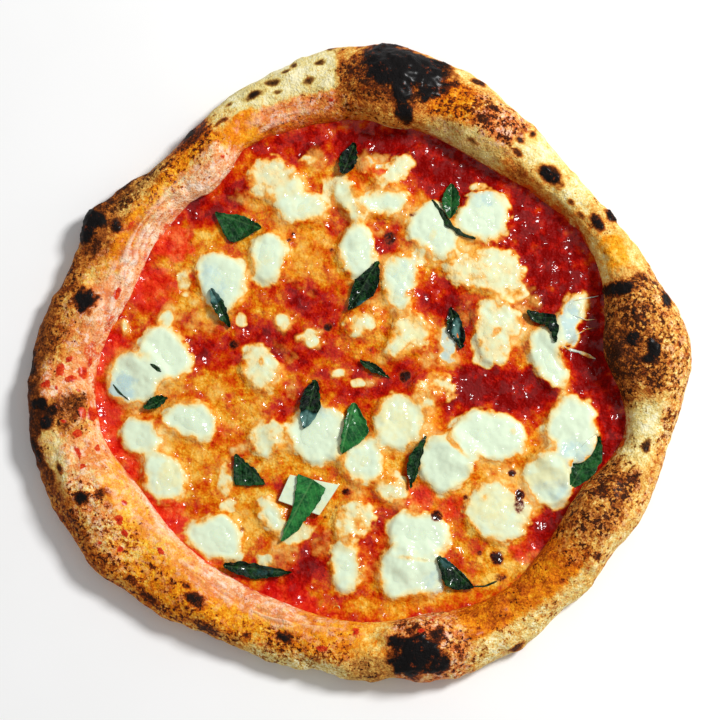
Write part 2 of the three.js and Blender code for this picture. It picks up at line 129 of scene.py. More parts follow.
STEPS = 780  # round the rim
CUTS = np.linspace(-90, 190, 102)  # round a cut through the rim, from under it, outwards and over
UNDERSIDE = [0.12, 0.3, 0.48, 0.64, 0.78, 0.88, 0.95]  # rings, as shares of the way to the rim's foot
DISH_FLOOR = 3.0 * MM
RIM_LEAST = 7 * MM  # what is higher than this belongs to the rim
CORE_HEIGHT = 0.42  # as a share of the rim's height

crust_skin = skin_of("crust")
turns = np.arange(STEPS) * 360 / STEPS
outward = np.stack([np.cos(np.radians(turns)), np.sin(np.radians(turns)), 0 * turns], 1)


def rim_core():
    """The line inside the rim that its skin is felt from: its radius and height at each step."""
    radii = np.arange(100, 172, 1.5) * MM
    radius, height = [], []
    for way in outward:
        tops = np.array([top_of(crust_skin, *(ORIGIN + way * far)[:2]) for far in radii])
        rim = radii[tops > RIM_LEAST]
        radius.append((rim.min() + rim.max()) / 2)
        height.append(CORE_HEIGHT * tops.max())
    return soften(np.array(radius), [6], [True]), soften(np.array(height), [6], [True])


core_radius, core_height = rim_core()


def felt_skin():
    """How far the rim's skin is from its core, with the flats between the solid's edges smoothed."""
    reach = np.zeros((len(CUTS), STEPS))
    for row, cut in enumerate(np.radians(CUTS)):
        for step in range(STEPS):
            start = ORIGIN + outward[step] * core_radius[step] + [0, 0, core_height[step]]
            way = outward[step] * math.cos(cut) + [0, 0, math.sin(cut)]
            reach[row, step] = crust_skin.ray_cast(Vector(start), Vector(way))[3]
    return soften(reach, [1.6, 3.0], [False, True])


cuts = np.radians(CUTS)[:, None, None]
cut_ways = np.cos(cuts) * outward + np.sin(cuts) * [0, 0, 1]
core = ORIGIN + outward * core_radius[:, None] + core_height[:, None] * [0, 0, 1]
skin = core + felt_skin()[:, :, None] * cut_ways
skin_mm = (skin - ORIGIN) / MM
ragged = 0.34 * lumps(skin_mm, 7, 1) + 0.3 * lumps(skin_mm, 3, 2) + 0.2 * lumps(skin_mm, 1.5, 3)

# Marks on the rim have an angle and a radius about the outline's middle, as they show at MARKED_AT mm up
# to someone who stands on the -Y side and looks down, 10 degrees off plumb.
MARKED_AT = 14
LEAN = [-0.031, 0.174]
marked = skin[..., :2] / MM + (skin[..., 2:] / MM - MARKED_AT) * LEAN
turn_at = np.degrees(np.arctan2(marked[..., 1], marked[..., 0])) % 360
radius_at = np.hypot(marked[..., 0], marked[..., 1])

# How the rim baked, by stretches of it: from and to in degrees, from and to in mm of radius, and then
# its bake from 0, raw and pale, to 1, black; its freckles; its oil, which makes it golden; its blush of
# tomato; and how greenish its pale dough is. On the inner slope on the right and at the top (radius about
# 108 to 130 mm) the bake is partly painted shade.
RIM_ZONES = [
    (-1, 18, 118, 142, 0.54, 1, 0.1, 0.1, 0), (-2, 17, 143, 160, 0.36, 0.9, 0, 0.25, 0),
    (-9, 7, 118, 133, 0.82, 0.8, 0.2, 0, 0),
    (17, 27, 118, 146, 0.2, 0.2, 0.3, 0, 0.3), (20, 25, 128, 135, 0.3, 0.2, 0.8, 0, 0),
    (26, 34, 120, 142, 0.3, 0.5, 0.3, 0, 0), (33, 53, 123, 140, 0.16, 0.3, 0.1, 0, 0.2),
    (18, 54, 110, 122, 0.46, 0.3, 0.4, 0, 0.2), (45, 53, 128, 139, 0.1, 0.1, 0.2, 0, 0.2),
    (54, 66, 124, 143, 0.42, 1, 0.2, 0.6, 0), (64, 74, 124, 143, 0.45, 1, 0.9, 0, 0),
    (56, 71, 110, 124, 0.3, 0.3, 0, 0.2, 0.7), (54, 74, 143, 150, 0.2, 0.3, 0, 0, 0.2),
    (74, 92, 110, 124, 0.4, 0.6, 0.3, 0, 0.3), (74, 91, 124, 150, 0.66, 0.8, 0.4, 0, 0),
    (74, 90, 151, 158, 0.22, 0.2, 0.3, 0, 0.2), (88, 94, 124, 150, 0.58, 0.9, 0.4, 0, 0),
    (94, 119, 131, 156, 0.07, 0.1, 0, 0, 1), (93, 114, 119, 130, 0.4, 0.4, 0.6, 0.6, 0),
    (90, 118, 108, 118, 0.58, 0.3, 0.9, 0.1, 0), (114, 122, 119, 132, 0.4, 0.2, 1, 0, 0),
    (118, 122, 131, 145, 0.15, 0.3, 0, 0.2, 0.5), (119, 135, 102, 126, 0.16, 0.3, 0, 1, 0),
    (124, 150, 118, 134, 0.34, 0.9, 1, 0, 0), (121, 133, 133, 141, 0.72, 0.8, 0.8, 0, 0),
    (132, 149, 131, 141, 0.42, 0.8, 0, 0, 0.6), (138, 149, 139, 150, 0.72, 0.6, 0, 0, 0.3),
    (135, 160, 110, 124, 0.18, 0.2, 0.1, 1, 0), (149, 158, 124, 131, 0.42, 0.3, 0.9, 0.2, 0),
    (150, 161, 131, 148, 0.68, 0.6, 0.2, 0, 0.2), (157, 166, 128, 138, 0.26, 0.4, 0.5, 0.3, 0.2),
    (160, 182, 140, 149, 0.54, 0.8, 0.4, 0, 0.2), (160, 182, 149, 162, 0.64, 0.4, 0, 0, 0.3),
    (162, 172, 115, 134, 0.2, 0.2, 0.2, 0.9, 0), (170, 182, 133, 142, 0.38, 0.5, 0.5, 0.6, 0),
    (171, 182, 116, 132, 0.3, 0.2, 0.6, 0.8, 0), (181, 188, 122, 152, 0.24, 0.3, 0.1, 0.9, 0),
    (180, 203, 152, 166, 0.82, 0.3, 0, 0, 0.2), (187, 195, 130, 148, 0.6, 0.7, 0.2, 0.2, 0.2),
    (187, 200, 123, 131, 0.24, 0.2, 0.8, 0.7, 0), (184, 203, 112, 123, 0.16, 0.2, 0.1, 1, 0),
    (194, 205, 128, 150, 0.24, 0.5, 0.5, 0.6, 0), (195, 201, 149, 156, 0.1, 0.2, 0, 0.3, 0.6),
    (200, 222, 153, 165, 0.56, 0.8, 0.5, 0, 0), (205, 222, 139, 154, 0.24, 0.9, 0.5, 0.5, 0),
    (203, 216, 124, 134, 0.26, 0.3, 1, 0.4, 0), (203, 216, 110, 123, 0.14, 0.2, 0.1, 1, 0),
    (216, 236, 134, 150, 0.36, 0.8, 1, 0.1, 0), (216, 232, 124, 134, 0.26, 0.3, 1, 0.3, 0),
    (216, 232, 110, 123, 0.14, 0.1, 0.1, 1, 0), (222, 241, 148, 160, 0.4, 0.9, 0.6, 0, 0.2),
    (230, 262, 127, 134, 0.26, 0.2, 0.9, 0.6, 0), (230, 262, 112, 126, 0.18, 0.1, 0.2, 1, 0),
    (239, 250, 133, 146, 0.3, 0.6, 0.9, 0.1, 0.1), (240, 250, 144, 155, 0.4, 0.9, 0.4, 0, 0.4),
    (249, 266, 136, 147, 0.4, 1, 0.7, 0.1, 0), (251, 271, 146, 156, 0.18, 0.8, 0, 0.1, 0.5),
    (257, 271, 122, 139, 0.36, 0.3, 0.9, 0.2, 0), (269, 277, 122, 146, 0.24, 0.3, 0.5, 0, 0.4),
    (269, 276, 146, 155, 0.46, 0.5, 0, 0, 0.4), (276, 291, 124, 162, 0.38, 0.9, 0.4, 0.6, 0),
    (289, 320, 120, 146, 0.48, 0.5, 1, 0, 0), (290, 318, 147, 162, 0.2, 0.6, 0.2, 0.1, 0.3),
    (297, 316, 110, 124, 0.52, 0.3, 1, 0, 0), (314, 332, 110, 126, 0.5, 0.8, 0.5, 0, 0),
    (317, 341, 125, 146, 0.54, 1, 0.2, 0.1, 0), (318, 341, 146, 160, 0.3, 0.7, 0.1, 0.2, 0),
    (338, 353, 130, 147, 0.14, 0.3, 0.1, 0, 0.8), (340, 358, 146, 162, 0.32, 0.9, 0, 0.25, 0),
    (340, 359, 108, 130, 0.52, 0.8, 0.3, 0, 0), (352, 359, 129, 143, 0.55, 1, 0.2, 0.1, 0),
]
ZONE_BLEND = 3.6  # mm over which a zone runs into the next
MM_PER_DEGREE = 2.3  # along the rim's crown


def baked(zones):
    """The zones' five values at each place of the skin. A small zone outweighs a large one under it."""
    total = np.full(turn_at.shape, 0.01)
    values = total[..., None] * [0.4, 0.4, 0.3, 0.2, 0.1]
    for turn_from, turn_to, radius_from, radius_to, *zone in zones:
        half_turn, half_radius = (turn_to - turn_from) / 2, (radius_to - radius_from) / 2
        half_length = half_turn * MM_PER_DEGREE
        off = (turn_at - turn_from - half_turn + 180) % 360 - 180
        edge = ((off / half_turn) ** 4 + ((radius_at - radius_from) / half_radius - 1) ** 4) ** 0.25
        blend = ZONE_BLEND / min(half_radius, half_length)
        weight = 1 - ease(edge + 1.6 * ragged * blend, 1 - blend, 1 + blend) + 0.01 * np.exp(-edge)
        weight *= 100 / (half_radius * half_length)
        total += weight
        values += weight[..., None] * zone
    return values / total[..., None]


def spots(places, rough):
    """How strongly spots cover the rim: angle, radius, half length along the rim, half width, strength."""
    cover = np.zeros_like(turn_at)
    for at, far, along, across, strength in places:
        off = np.radians((turn_at - at + 180) % 360 - 180) * far
        edge = np.hypot(off / along, (radius_at - far) / across)
        cover = np.maximum(cover, strength * (1 - ease(edge + rough, 0.3, 1.6)))
    return cover


# Where the rim burnt, and where tomato splashed on it.
BURNT = [
    (80.5, 141.5, 19, 13, 1.6), (84.5, 144, 13, 12, 1.5), (81.5, 130, 7, 7, 1.3), (77, 145, 12, 9, 1.4),
    (88, 137, 2.6, 2.4, 1.1), (79.5, 121.5, 5.4, 5.2, 1.3), (1.5, 139.5, 6.5, 4, 1.3),
    (14.5, 128, 4, 8, 1.25), (10.2, 148.3, 4.4, 2.8, 1.2), (3.5, 129.5, 4.4, 4.2, 1.1),
    (9, 132, 3.4, 3, 1.1), (6, 136, 8, 4, 0.68), (29.5, 131, 4.6, 3.8, 1.05), (29.5, 140, 4.2, 3.8, 1.3),
    (43.5, 126.8, 6.6, 3.6, 1.15), (52.3, 137.5, 2, 3.2, 0.95), (53.8, 131, 2.6, 1.8, 0.9),
    (52.5, 124.7, 2.8, 1.6, 0.8), (32.8, 126, 2.6, 2, 0.75), (36.3, 126.2, 2.4, 1.6, 0.85),
    (63, 130, 4, 2.4, 0.85), (61.5, 137.5, 3, 1.4, 0.9), (58, 132.3, 2.6, 1.8, 0.85),
    (70.8, 141.5, 2.6, 2.6, 0.9), (62.5, 118, 4, 1.4, 0.7), (111.7, 138.7, 5, 1.9, 0.95),
    (107.3, 142, 3.6, 1.7, 0.85), (97.5, 146.3, 2.8, 1.3, 0.85), (100.3, 137.8, 2.8, 2, 0.8),
    (104.5, 145.2, 2.8, 1.3, 0.85), (95.5, 152, 2.6, 1.3, 0.8), (102.5, 147.5, 1.6, 1.2, 0.8),
    (107, 136.5, 2.4, 1.2, 0.66), (117, 140.5, 2.6, 1.3, 0.8), (120.2, 133.5, 3.4, 1.5, 0.85),
    (66.8, 146.8, 3.6, 1.4, 0.9), (127.5, 138.5, 6, 2.4, 1.1), (127.5, 135, 11, 4, 0.8),
    (143.5, 144, 4.6, 3, 0.95), (145.5, 135, 2.2, 2.2, 0.85), (152.5, 147, 5.5, 9.5, 1.4),
    (155.5, 145, 6.5, 5, 1.2), (151.5, 134, 3.6, 4, 1.0), (157, 138, 7, 3, 0.85), (168, 135, 6, 6, 1.3),
    (167, 129, 1.6, 2, 0.9), (188.5, 154, 3.8, 5, 1.15), (192, 153, 3.6, 5, 1.15), (190, 148, 3.8, 4.6, 1.0),
    (189, 138, 5, 7, 0.74), (207.3, 148.5, 3.8, 5.6, 1.15), (208.5, 138.5, 3.4, 5.5, 0.72),
    (200.5, 151.8, 3.4, 2.2, 0.9), (237, 139, 7, 3.2, 1.0), (233.5, 136, 3, 2, 0.85),
    (255.5, 138.5, 3.8, 3, 1.0), (248.5, 143, 2.6, 2, 0.85), (280.2, 143.5, 12.5, 11.5, 1.5),
    (284, 151.5, 7, 5, 1.2), (285.6, 136.5, 5, 5, 0.95), (288.5, 148, 1.4, 7, 0.75),
    (293.5, 141, 1.8, 1.4, 0.8), (342.2, 142.8, 3.4, 2.2, 0.95), (336, 142.7, 3, 2, 0.9),
    (319.5, 147.5, 2.6, 2.2, 0.85), (331, 131, 3.6, 2.6, 0.85), (327, 140, 8, 5, 0.68),
    (359.5, 136, 3.6, 6.4, 1.1), (229, 152, 7, 2.2, 0.9), (225, 151, 4, 2, 0.85), (181, 158, 10, 3, 1.0),
    (197, 161, 12, 3, 1.0), (298, 158.5, 6, 1.6, 0.85), (88.5, 134.5, 3, 2.4, 0.9), (88, 155, 5, 1.4, 0.9),
    (241, 149, 9, 3, 0.8), (262, 146, 5, 2, 0.6), (14, 146, 1.6, 1.4, 0.8), (2, 152, 1.5, 1.2, 0.8),
    (355, 153, 1.4, 1.2, 0.8),
]
SPLASHES = [
    (182.5, 143, 3.2, 2, 1), (184.5, 139, 1.8, 3.2, 1), (180.5, 139, 1.8, 2, 1), (183.5, 132, 3.4, 2.2, 1),
    (185, 150.5, 2.4, 2.8, 0.9), (191.5, 134, 2.2, 1.8, 1), (192.5, 129.5, 3.4, 1.8, 1),
    (192.5, 143.5, 1.6, 2, 1), (181, 128.5, 2.6, 1.6, 1), (199, 140.5, 3.8, 2.2, 1),
    (195.5, 139.5, 1.8, 1.8, 1), (202, 141, 1.5, 1.5, 1), (199.5, 132, 2.2, 1.5, 1),
    (214.5, 137.5, 3.4, 2.4, 1), (217.5, 139, 2.8, 1.5, 1), (219.3, 146, 1.4, 1.7, 1),
    (216.2, 151.5, 1.5, 1.6, 0.9), (212.5, 131.5, 1.9, 1.3, 0.9), (225, 132.5, 2.6, 1.2, 0.9),
    (165, 120.3, 3.4, 1.9, 1), (96.3, 126.5, 1.9, 1.3, 1), (149.5, 127, 2.6, 2.4, 0.7),
    (262.8, 140, 3, 1.1, 0.9), (269.5, 132, 1.9, 2.6, 1), (285.3, 129.5, 2.6, 1.3, 0.8),
    (124, 118, 1.7, 1.1, 0.8), (179, 128, 6, 5, 0.55), (173, 121, 6, 3, 0.55), (186, 128, 5, 3, 0.55),
    (186, 145, 1.2, 1.2, 1), (187, 136, 1.4, 1.2, 0.9), (282.6, 133, 2.2, 1.1, 0.8),
]
# The bake field also carries painted shade on the inner slope on the right and at the top.
bake, freckles, oily, blush, greenish = np.moveaxis(baked(RIM_ZONES), -1, 0)
bake = np.maximum(bake + 0.12 * ragged, 0.95 * spots(BURNT, 0.9 * ragged))
splash = spots(SPLASHES, 1.3 * ragged)
outer_wall = (1 - ease(CUTS, -35, 25))[:, None]  # the side next to the hearth, which stayed floury
bake = bake * (1 - outer_wall) + outer_wall * (0.55 * bake + 0.05)
# The soaked edge stands higher towards the right than on the left: that rise is painted shade.
shore_top = 12 + 2 * np.cos(np.radians(turn_at - 20))  # mm up to which the sauce soaked the inner slope
shore = np.where(CUTS[:, None] > 90, 1 - ease(skin_mm[..., 2] + 7 * ragged, 5, shore_top), 0)

# Creases in the inner slope, where the dough was pushed together: they run along the rim.
CREASED = [
    (152, 120, 30, 7, 1), (165, 121, 20, 6, 1), (238, 129, 22, 4, 0.9), (254, 128.5, 22, 4, 0.9),
    (127, 112, 14, 6, 0.6), (183, 124, 18, 6, 0.5), (202, 125, 20, 4, 0.35), (220, 126, 20, 4, 0.35),
    (108, 124, 14, 6, 0.6),
]
creased = spots(CREASED, 0.5 * ragged)
along_rim = np.stack([turn_at * MM_PER_DEGREE / 9, radius_at / 1.6, skin_mm[..., 2] / 1.6], -1)
folds = 1 - np.abs(lumps(along_rim, 1, 5)) * 2

# Blisters: small bubbles just under the skin of the walls and the crown.
BLISTERS = 230
BLISTER_ROWS = (28, 88)  # of the cuts, from the outer wall over the crown to the inner slope
dice = np.random.default_rng(7)
blisters = np.zeros_like(turn_at)
for _ in range(BLISTERS):
    row, step = dice.integers(*BLISTER_ROWS), dice.integers(STEPS)
    size = dice.uniform(2.0, 6.5)
    apart = np.linalg.norm(skin_mm - skin_mm[row, step], axis=-1) / size
    blisters += dice.uniform(0.1, 0.2) * size * np.clip(1 - apart**2, 0, 1) ** 1.5

black = ease(bake, 0.85, 1.0)
relief = (
    0.8 * lumps(skin_mm, 13, 11) + 0.5 * lumps(skin_mm, 5.5, 12) + 0.28 * lumps(skin_mm, 2.4, 13)
    + blisters - 0.5 + 0.45 * black * (1 + lumps(skin_mm, 1.8, 14)) - 1.1 * creased * folds + 0.35 * splash
)
held = ease(CUTS, -78, -30) * (1 - ease(CUTS, 168, 186))  # the foot and the edge under the sauce keep still
skin = skin + (relief * held[:, None])[..., None] * cut_ways * MM


def solid_from(name, points, faces):
    """A new smooth piece in the scene."""
    mesh = bpy.data.meshes.new(name)
    mesh.from_pydata(points.tolist(), [], faces)
    mesh.shade_smooth()
    piece = bpy.data.objects.new(name, mesh)
    bpy.context.collection.objects.link(piece)
    return piece


def ring_faces(rows, count, start=0):
    """The faces that close rings of points between two poles, which are the first and the last point."""
    index = start + 1 + np.arange(rows * count).reshape(rows, count)
    after = np.roll(index, -1, axis=1)
    end = start + rows * count + 1
    faces = np.stack([index[:-1], after[:-1], after[1:], index[1:]], -1).reshape(-1, 4).tolist()
    faces += [(start, b, a) for a, b in zip(index[0].tolist(), after[0].tolist())]
    faces += [(end, a, b) for a, b in zip(index[-1].tolist(), after[-1].tolist())]
    return faces


def closed_rings(name, first, rings, last):
    """A closed mesh from one pole, over rings of points, to the other pole."""
    points = np.concatenate([[first], rings.reshape(-1, 3), [last]])
    return solid_from(name, points, ring_faces(*rings.shape[:2]))


def note(piece, **masks):
    """Gives each corner of a piece's mesh values, or all of them one, that its material reads by name."""
    for name, values in masks.items():
        mask = piece.data.attributes.new(name, "FLOAT", "POINT")
        mask.data.foreach_set("value", np.full(len(piece.data.vertices), values, np.float32))


def dress(piece, material, node):
    """Puts a material on a piece and lets it stand for its solid, if it has one."""
    piece.data.materials.append(material)
    if node:
        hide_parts(node)
    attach(piece, "root")


foot = skin[0] - ORIGIN
under = ORIGIN + np.array(UNDERSIDE)[:, None, None] * foot * [1, 1, 0]
under[..., 2] = 0.25 * MM * (1 + lumps((under - ORIGIN) / MM, 9, 21))
wall_foot = skin[-1] * [1, 1, 0] + [0, 0, DISH_FLOOR]
floor_rings = [ORIGIN + (wall_foot - ORIGIN) * [share, share, 1] for share in (0.985, 0.9, 0.5)]
low, high = np.array(solid_box)
INSIDE = 0.01 * MM  # how far within the solids' box the crust stays
all_rings = np.clip(np.concatenate([under, skin, np.stack(floor_rings)]), low + INSIDE, high - INSIDE)
crust = closed_rings("crust_dough", ORIGIN, all_rings, ORIGIN + [0, 0, DISH_FLOOR])


def over_rings(values, below=0.0):
    """A mask of the rim's skin, with one value all over the underside and 0 in the dish."""
    rows = [np.full((len(UNDERSIDE), STEPS), below), values, np.zeros((3, STEPS))]
    return np.concatenate([[below], np.concatenate(rows).ravel(), [0.0]])


rim_masks = {
    "bake": bake,
    "freckles": freckles,
    "oily": oily,
    "blush": blush,
    "greenish": greenish,
    "splash": splash,
    "shore": shore,
    # Painted light on the ridges between the creases, and painted shade in the crease lines.
    "ridge": creased * ease(-folds, -0.5, 0.4),
    "crease": creased * ease(folds, 0.5, 0.9),
}
note(crust, **{name: over_rings(values) for name, values in rim_masks.items()})
note(crust, under=over_rings(1 - np.repeat(ease(CUTS, -62, -25)[:, None], STEPS, 1), 1.0))


def hue(red, green, blue):
    """A colour from its screen values, 0 to 255."""
    parts = [c / 255 for c in (red, green, blue)]
    return [c / 12.92 if c <= 0.04045 else ((c + 0.055) / 1.055) ** 2.4 for c in parts] + [1]


def add(tree, kind, inputs=(), **settings):
    """A shader node with its settings, and its inputs set or joined."""
    made = tree.nodes.new("ShaderNode" + kind)
    for name, value in settings.items():
        setattr(made, name, value)
    for key, value in dict(inputs).items():
        if isinstance(value, bpy.types.NodeSocket):
            tree.links.new(value, made.inputs[key])
        else:
            made.inputs[key].default_value = value
    return made


def finish_named(name, looks):
    """A new material: its tree, its shader with looks, and the place of each point in metres."""
    material = bpy.data.materials.new(name)
    material.use_nodes = True
    tree = material.node_tree
    tree.nodes.clear()
    shader = add(tree, "BsdfPrincipled", looks)
    add(tree, "OutputMaterial", {"Surface": shader.outputs[0]})
    place = add(tree, "TexCoord").outputs["Object"]
    return material, tree, shader, place


def mask_of(tree, name):
    return add(tree, "Attribute", attribute_name=name).outputs["Fac"]


def sums(tree, kind, first, second):
    return add(tree, "Math", {0: first, 1: second}, operation=kind).outputs[0]


def times(tree, first, second):
    return sums(tree, "MULTIPLY", first, second)


def total(tree, *parts):
    """The sum of values, each a value or a pair of a value and how much of it to take."""
    result = None
    for part in parts:
        value = times(tree, *part) if isinstance(part, tuple) else part
        result = value if result is None else sums(tree, "ADD", result, value)
    return result


def noise(tree, place, mm, detail=3.0, rough=0.55, seed=0.0):
    """Uneven cloud about 0, mostly between -0.25 and 0.25, with spots of about a size in mm."""
    shifted = add(tree, "VectorMath", {0: place, 1: (seed, seed, seed)}, operation="ADD").outputs[0]
    inputs = {"Vector": shifted, "Scale": 1000 / mm, "Detail": detail, "Roughness": rough}
    return sums(tree, "SUBTRACT", add(tree, "TexNoise", inputs).outputs["Fac"], 0.5)


def rise(tree, value, low, high):
    """0 below low, 1 above high."""
    inputs = {"Value": value, "From Min": low, "From Max": high}
    return add(tree, "MapRange", inputs, interpolation_type="SMOOTHSTEP").outputs["Result"]


def lay(tree, under, over, cover):
    """One colour laid over another where cover is 1."""
    return add(tree, "Mix", {0: cover, 6: under, 7: over}, data_type="RGBA").outputs[2]


def ramp(tree, value, *stops):
    """A colour that changes along a value: stops are places from 0 to 1 and their colours."""
    made = add(tree, "ValToRGB", {"Fac": value})
    elements = made.color_ramp.elements
    for at, *_ in stops[1:-1]:
        elements.new(at)
    for element, (at, *colour) in zip(elements, stops):
        element.position = at
        element.color = hue(*colour)
    return made.outputs["Color"]


def roughen(tree, height, depth, socket):
    """Fine relief that only turns the light: its height, how deep it goes, and where it is used."""
    bump = add(tree, "Bump", {"Strength": 1.0, "Distance": depth, "Height": height})
    tree.links.new(bump.outputs[0], socket)


def make_crust_finish():
    looks = {"Roughness": 0.7, "Specular IOR Level": 0.08, "Coat Roughness": 0.22}
    material, tree, shader, place = finish_named("Baked dough", looks)
    # Bake, with clouds, freckles and grain in it, and the four kinds of dough that it browns. On the inner
    # slope on the right and at the top the bake is partly painted shade.
    cloud = noise(tree, place, 14, 3, 0.55)
    mottle = noise(tree, place, 3.6, 5, 0.68, 3)
    grain = noise(tree, place, 1.1, 4, 0.7, 5)
    clusters = total(tree, noise(tree, place, 1.9, 3, 0.62, 9), (noise(tree, place, 9, 2, 0.5, 11), 0.4))
    freckles = mask_of(tree, "freckles")
    dotted = rise(tree, total(tree, clusters, (freckles, 0.22)), 0.2, 0.32)
    patchy = times(tree, total(tree, mottle, grain), total(tree, freckles, 0.5))
    baked_so_far = mask_of(tree, "bake")
    speckled = total(tree, baked_so_far, (cloud, 0.45), (patchy, 0.85), (dotted, 0.4))
    darkest = sums(tree, "MAXIMUM", total(tree, baked_so_far, 0.03), 0.85)  # freckles stay brown
    bake = sums(tree, "MINIMUM", speckled, darkest)
    dry = ramp(
        tree, bake, (0, 252, 242, 200), (0.15, 242, 218, 136), (0.3, 230, 178, 84), (0.45, 204, 128, 48),
        (0.6, 156, 80, 24), (0.75, 92, 42, 12), (0.88, 40, 20, 10), (1, 12, 9, 9),
    )
    golden = ramp(
        tree, bake, (0, 255, 218, 96), (0.15, 252, 190, 48), (0.3, 242, 154, 16), (0.45, 220, 116, 4),
        (0.6, 172, 72, 2), (0.75, 104, 38, 2), (0.88, 44, 18, 4), (1, 12, 8, 8),
    )
    rosy = ramp(
        tree, bake, (0, 255, 234, 206), (0.15, 252, 204, 156), (0.3, 244, 162, 94), (0.45, 222, 118, 52),
        (0.6, 164, 72, 26), (0.75, 96, 38, 12), (0.88, 42, 18, 10), (1, 12, 9, 9),
    )
    cool = ramp(
        tree, bake, (0, 246, 238, 196), (0.15, 234, 216, 142), (0.3, 210, 176, 96), (0.45, 160, 118, 58),
        (0.6, 118, 76, 32), (0.75, 78, 46, 18), (0.88, 38, 22, 12), (1, 12, 10, 10),
    )

    def cover(name):
        return rise(tree, total(tree, mask_of(tree, name), (mottle, 1.2)), 0.2, 0.8)

    colour = lay(tree, dry, cool, cover("greenish"))
    colour = lay(tree, colour, golden, cover("oily"))
    colour = lay(tree, colour, rosy, cover("blush"))
    # Tomato on the inner slope: stains with chalky dough between, soaked edges and splashes. The soaked edges
    # climb higher and darker on the right, as painted shade.
    shade = total(tree, 0.5, grain, mottle)
    blush = times(tree, mask_of(tree, "blush"), rise(tree, bake, 0.62, 0.46))  # char takes no stain
    stain = times(tree, rise(tree, noise(tree, place, 7, 5, 0.72, 21), 0.0, 0.1), blush)
    stain_colour = ramp(tree, shade, (0.3, 216, 78, 28), (0.7, 242, 136, 66))
    colour = lay(tree, colour, stain_colour, times(tree, stain, 0.75))
    chalky = times(tree, rise(tree, noise(tree, place, 4, 5, 0.72, 23), 0.02, 0.1), blush)
    colour = lay(tree, colour, hue(252, 232, 212), times(tree, chalky, 0.8))
    # Ridges painted paler as light, and crease lines painted darker as shade.
    colour = lay(tree, colour, hue(252, 236, 220), times(tree, mask_of(tree, "ridge"), 0.5))
    colour = lay(tree, colour, hue(190, 84, 50), times(tree, mask_of(tree, "crease"), 0.55))
    # Soaked edges of juice, which on the right also paint the shade on the inner wall.
    soaked = rise(tree, total(tree, mask_of(tree, "shore"), (mottle, 2.4), (grain, 0.8)), 0.2, 0.9)
    juice = ramp(tree, shade, (0.3, 160, 28, 2), (0.7, 222, 92, 16))
    fresh_juice = ramp(tree, shade, (0.3, 206, 34, 12), (0.7, 240, 104, 58))
    colour = lay(tree, colour, lay(tree, juice, fresh_juice, blush), soaked)
    spilt = rise(tree, total(tree, mask_of(tree, "splash"), (grain, 1.0), (mottle, 0.6)), 0.35, 0.7)
    tomato = ramp(tree, shade, (0.25, 160, 12, 0), (0.5, 208, 42, 2), (0.8, 236, 104, 36))
    colour = lay(tree, colour, tomato, spilt)
    # Underneath: bench flour, and brown spots where the dough touched the hot stone.
    from_spot = add(tree, "TexVoronoi", {"Vector": place, "Scale": 70.0}).outputs["Distance"]
    stone = rise(tree, total(tree, from_spot, (cloud, 1.4), (mottle, 0.5)), 0.4, 0.16)
    base = ramp(tree, total(tree, 0.5, mottle), (0.35, 214, 176, 116), (0.65, 234, 212, 164))
    below = lay(tree, base, hue(104, 58, 28), stone)
    flour = rise(tree, noise(tree, place, 2.2, 4, 0.7, 12), 0.06, 0.22)
    below = lay(tree, below, hue(246, 238, 222), flour)
    colour = lay(tree, colour, below, rise(tree, total(tree, mask_of(tree, "under"), mottle), 0.3, 0.7))
    tree.links.new(colour, shader.inputs["Base Color"])
    char = rise(tree, bake, 0.86, 1.0)
    shine = total(tree, (mask_of(tree, "oily"), 0.1), (spilt, 0.2), (char, 0.12))
    tree.links.new(shine, shader.inputs["Coat Weight"])
    # Pits and swells too fine for the mesh.
    pits, swells = noise(tree, place, 0.9, 2, 0.5, 2), noise(tree, place, 2.4, 3, 0.6, 4)
    roughen(tree, total(tree, (pits, 0.4), swells, (dotted, 0.12)), 1.2 * MM, shader.inputs["Normal"])
    return material


dress(crust, make_crust_finish(), "crust")

# ==========================================================================================
# Tomato sauce
# Crushed tomatoes, spread thin with a ladle. In the oven their water boiled off round the edge, fat
# from the cheese ran into them and turned them orange, and thin cheese melted over them in films.

PITCH = 0.72  # mm between the points of the sauce's top
SAUCE_UNDER = 3.4 * MM
SINK = 3.2  # mm that the edge runs into the rim, so that no gap shows
PLAN_REACH = 140  # mm, past the edge of the sauce everywhere
WALL_FELT_AT = 5.8 * MM  # the height at which the rim's inner wall is felt
LEVEL_BESIDE = 5.7  # mm, the sauce's level past the edge of its solid
LEVEL_LEAST = 5.2  # mm, and the lowest that it lies anywhere

half = int(PLAN_REACH / PITCH)
axis = np.arange(-half, half + 1) * PITCH
plan_x, plan_y = np.meshgrid(axis, axis)
plan = np.stack([plan_x, plan_y, 0 * plan_x], -1)
plan_ragged = 0.3 * lumps(plan, 7, 31) + 0.25 * lumps(plan, 3, 32)


def wall_round():
    """The radius at which the sauce meets the rim's inner wall, over the plan."""
    start = Vector(ORIGIN + [0, 0, WALL_FELT_AT])
    ways = [Vector((math.cos(math.radians(a)), math.sin(math.radians(a)), 0)) for a in range(361)]
    wall = [crust_skin.ray_cast(start, way)[3] / MM for way in ways]
    return np.interp(np.degrees(np.arctan2(plan_y, plan_x)) % 360, np.arange(361), wall)


def seen_from_above(node):
    """The height of a solid's top over the plan in mm, and 0 beside it."""
    top = np.zeros_like(plan_x)
    solid = skin_of(node)
    low, high = (np.array(corner)[:2] / MM - DISH_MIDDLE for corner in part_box(node))
    for row in np.where((axis >= low[1]) & (axis <= high[1]))[0]:
        for column in np.where((axis >= low[0]) & (axis <= high[0]))[0]:
            x, y = ORIGIN[:2] + [axis[column] * MM, axis[row] * MM]
            top[row, column] = top_of(solid, x, y) / MM
    return top


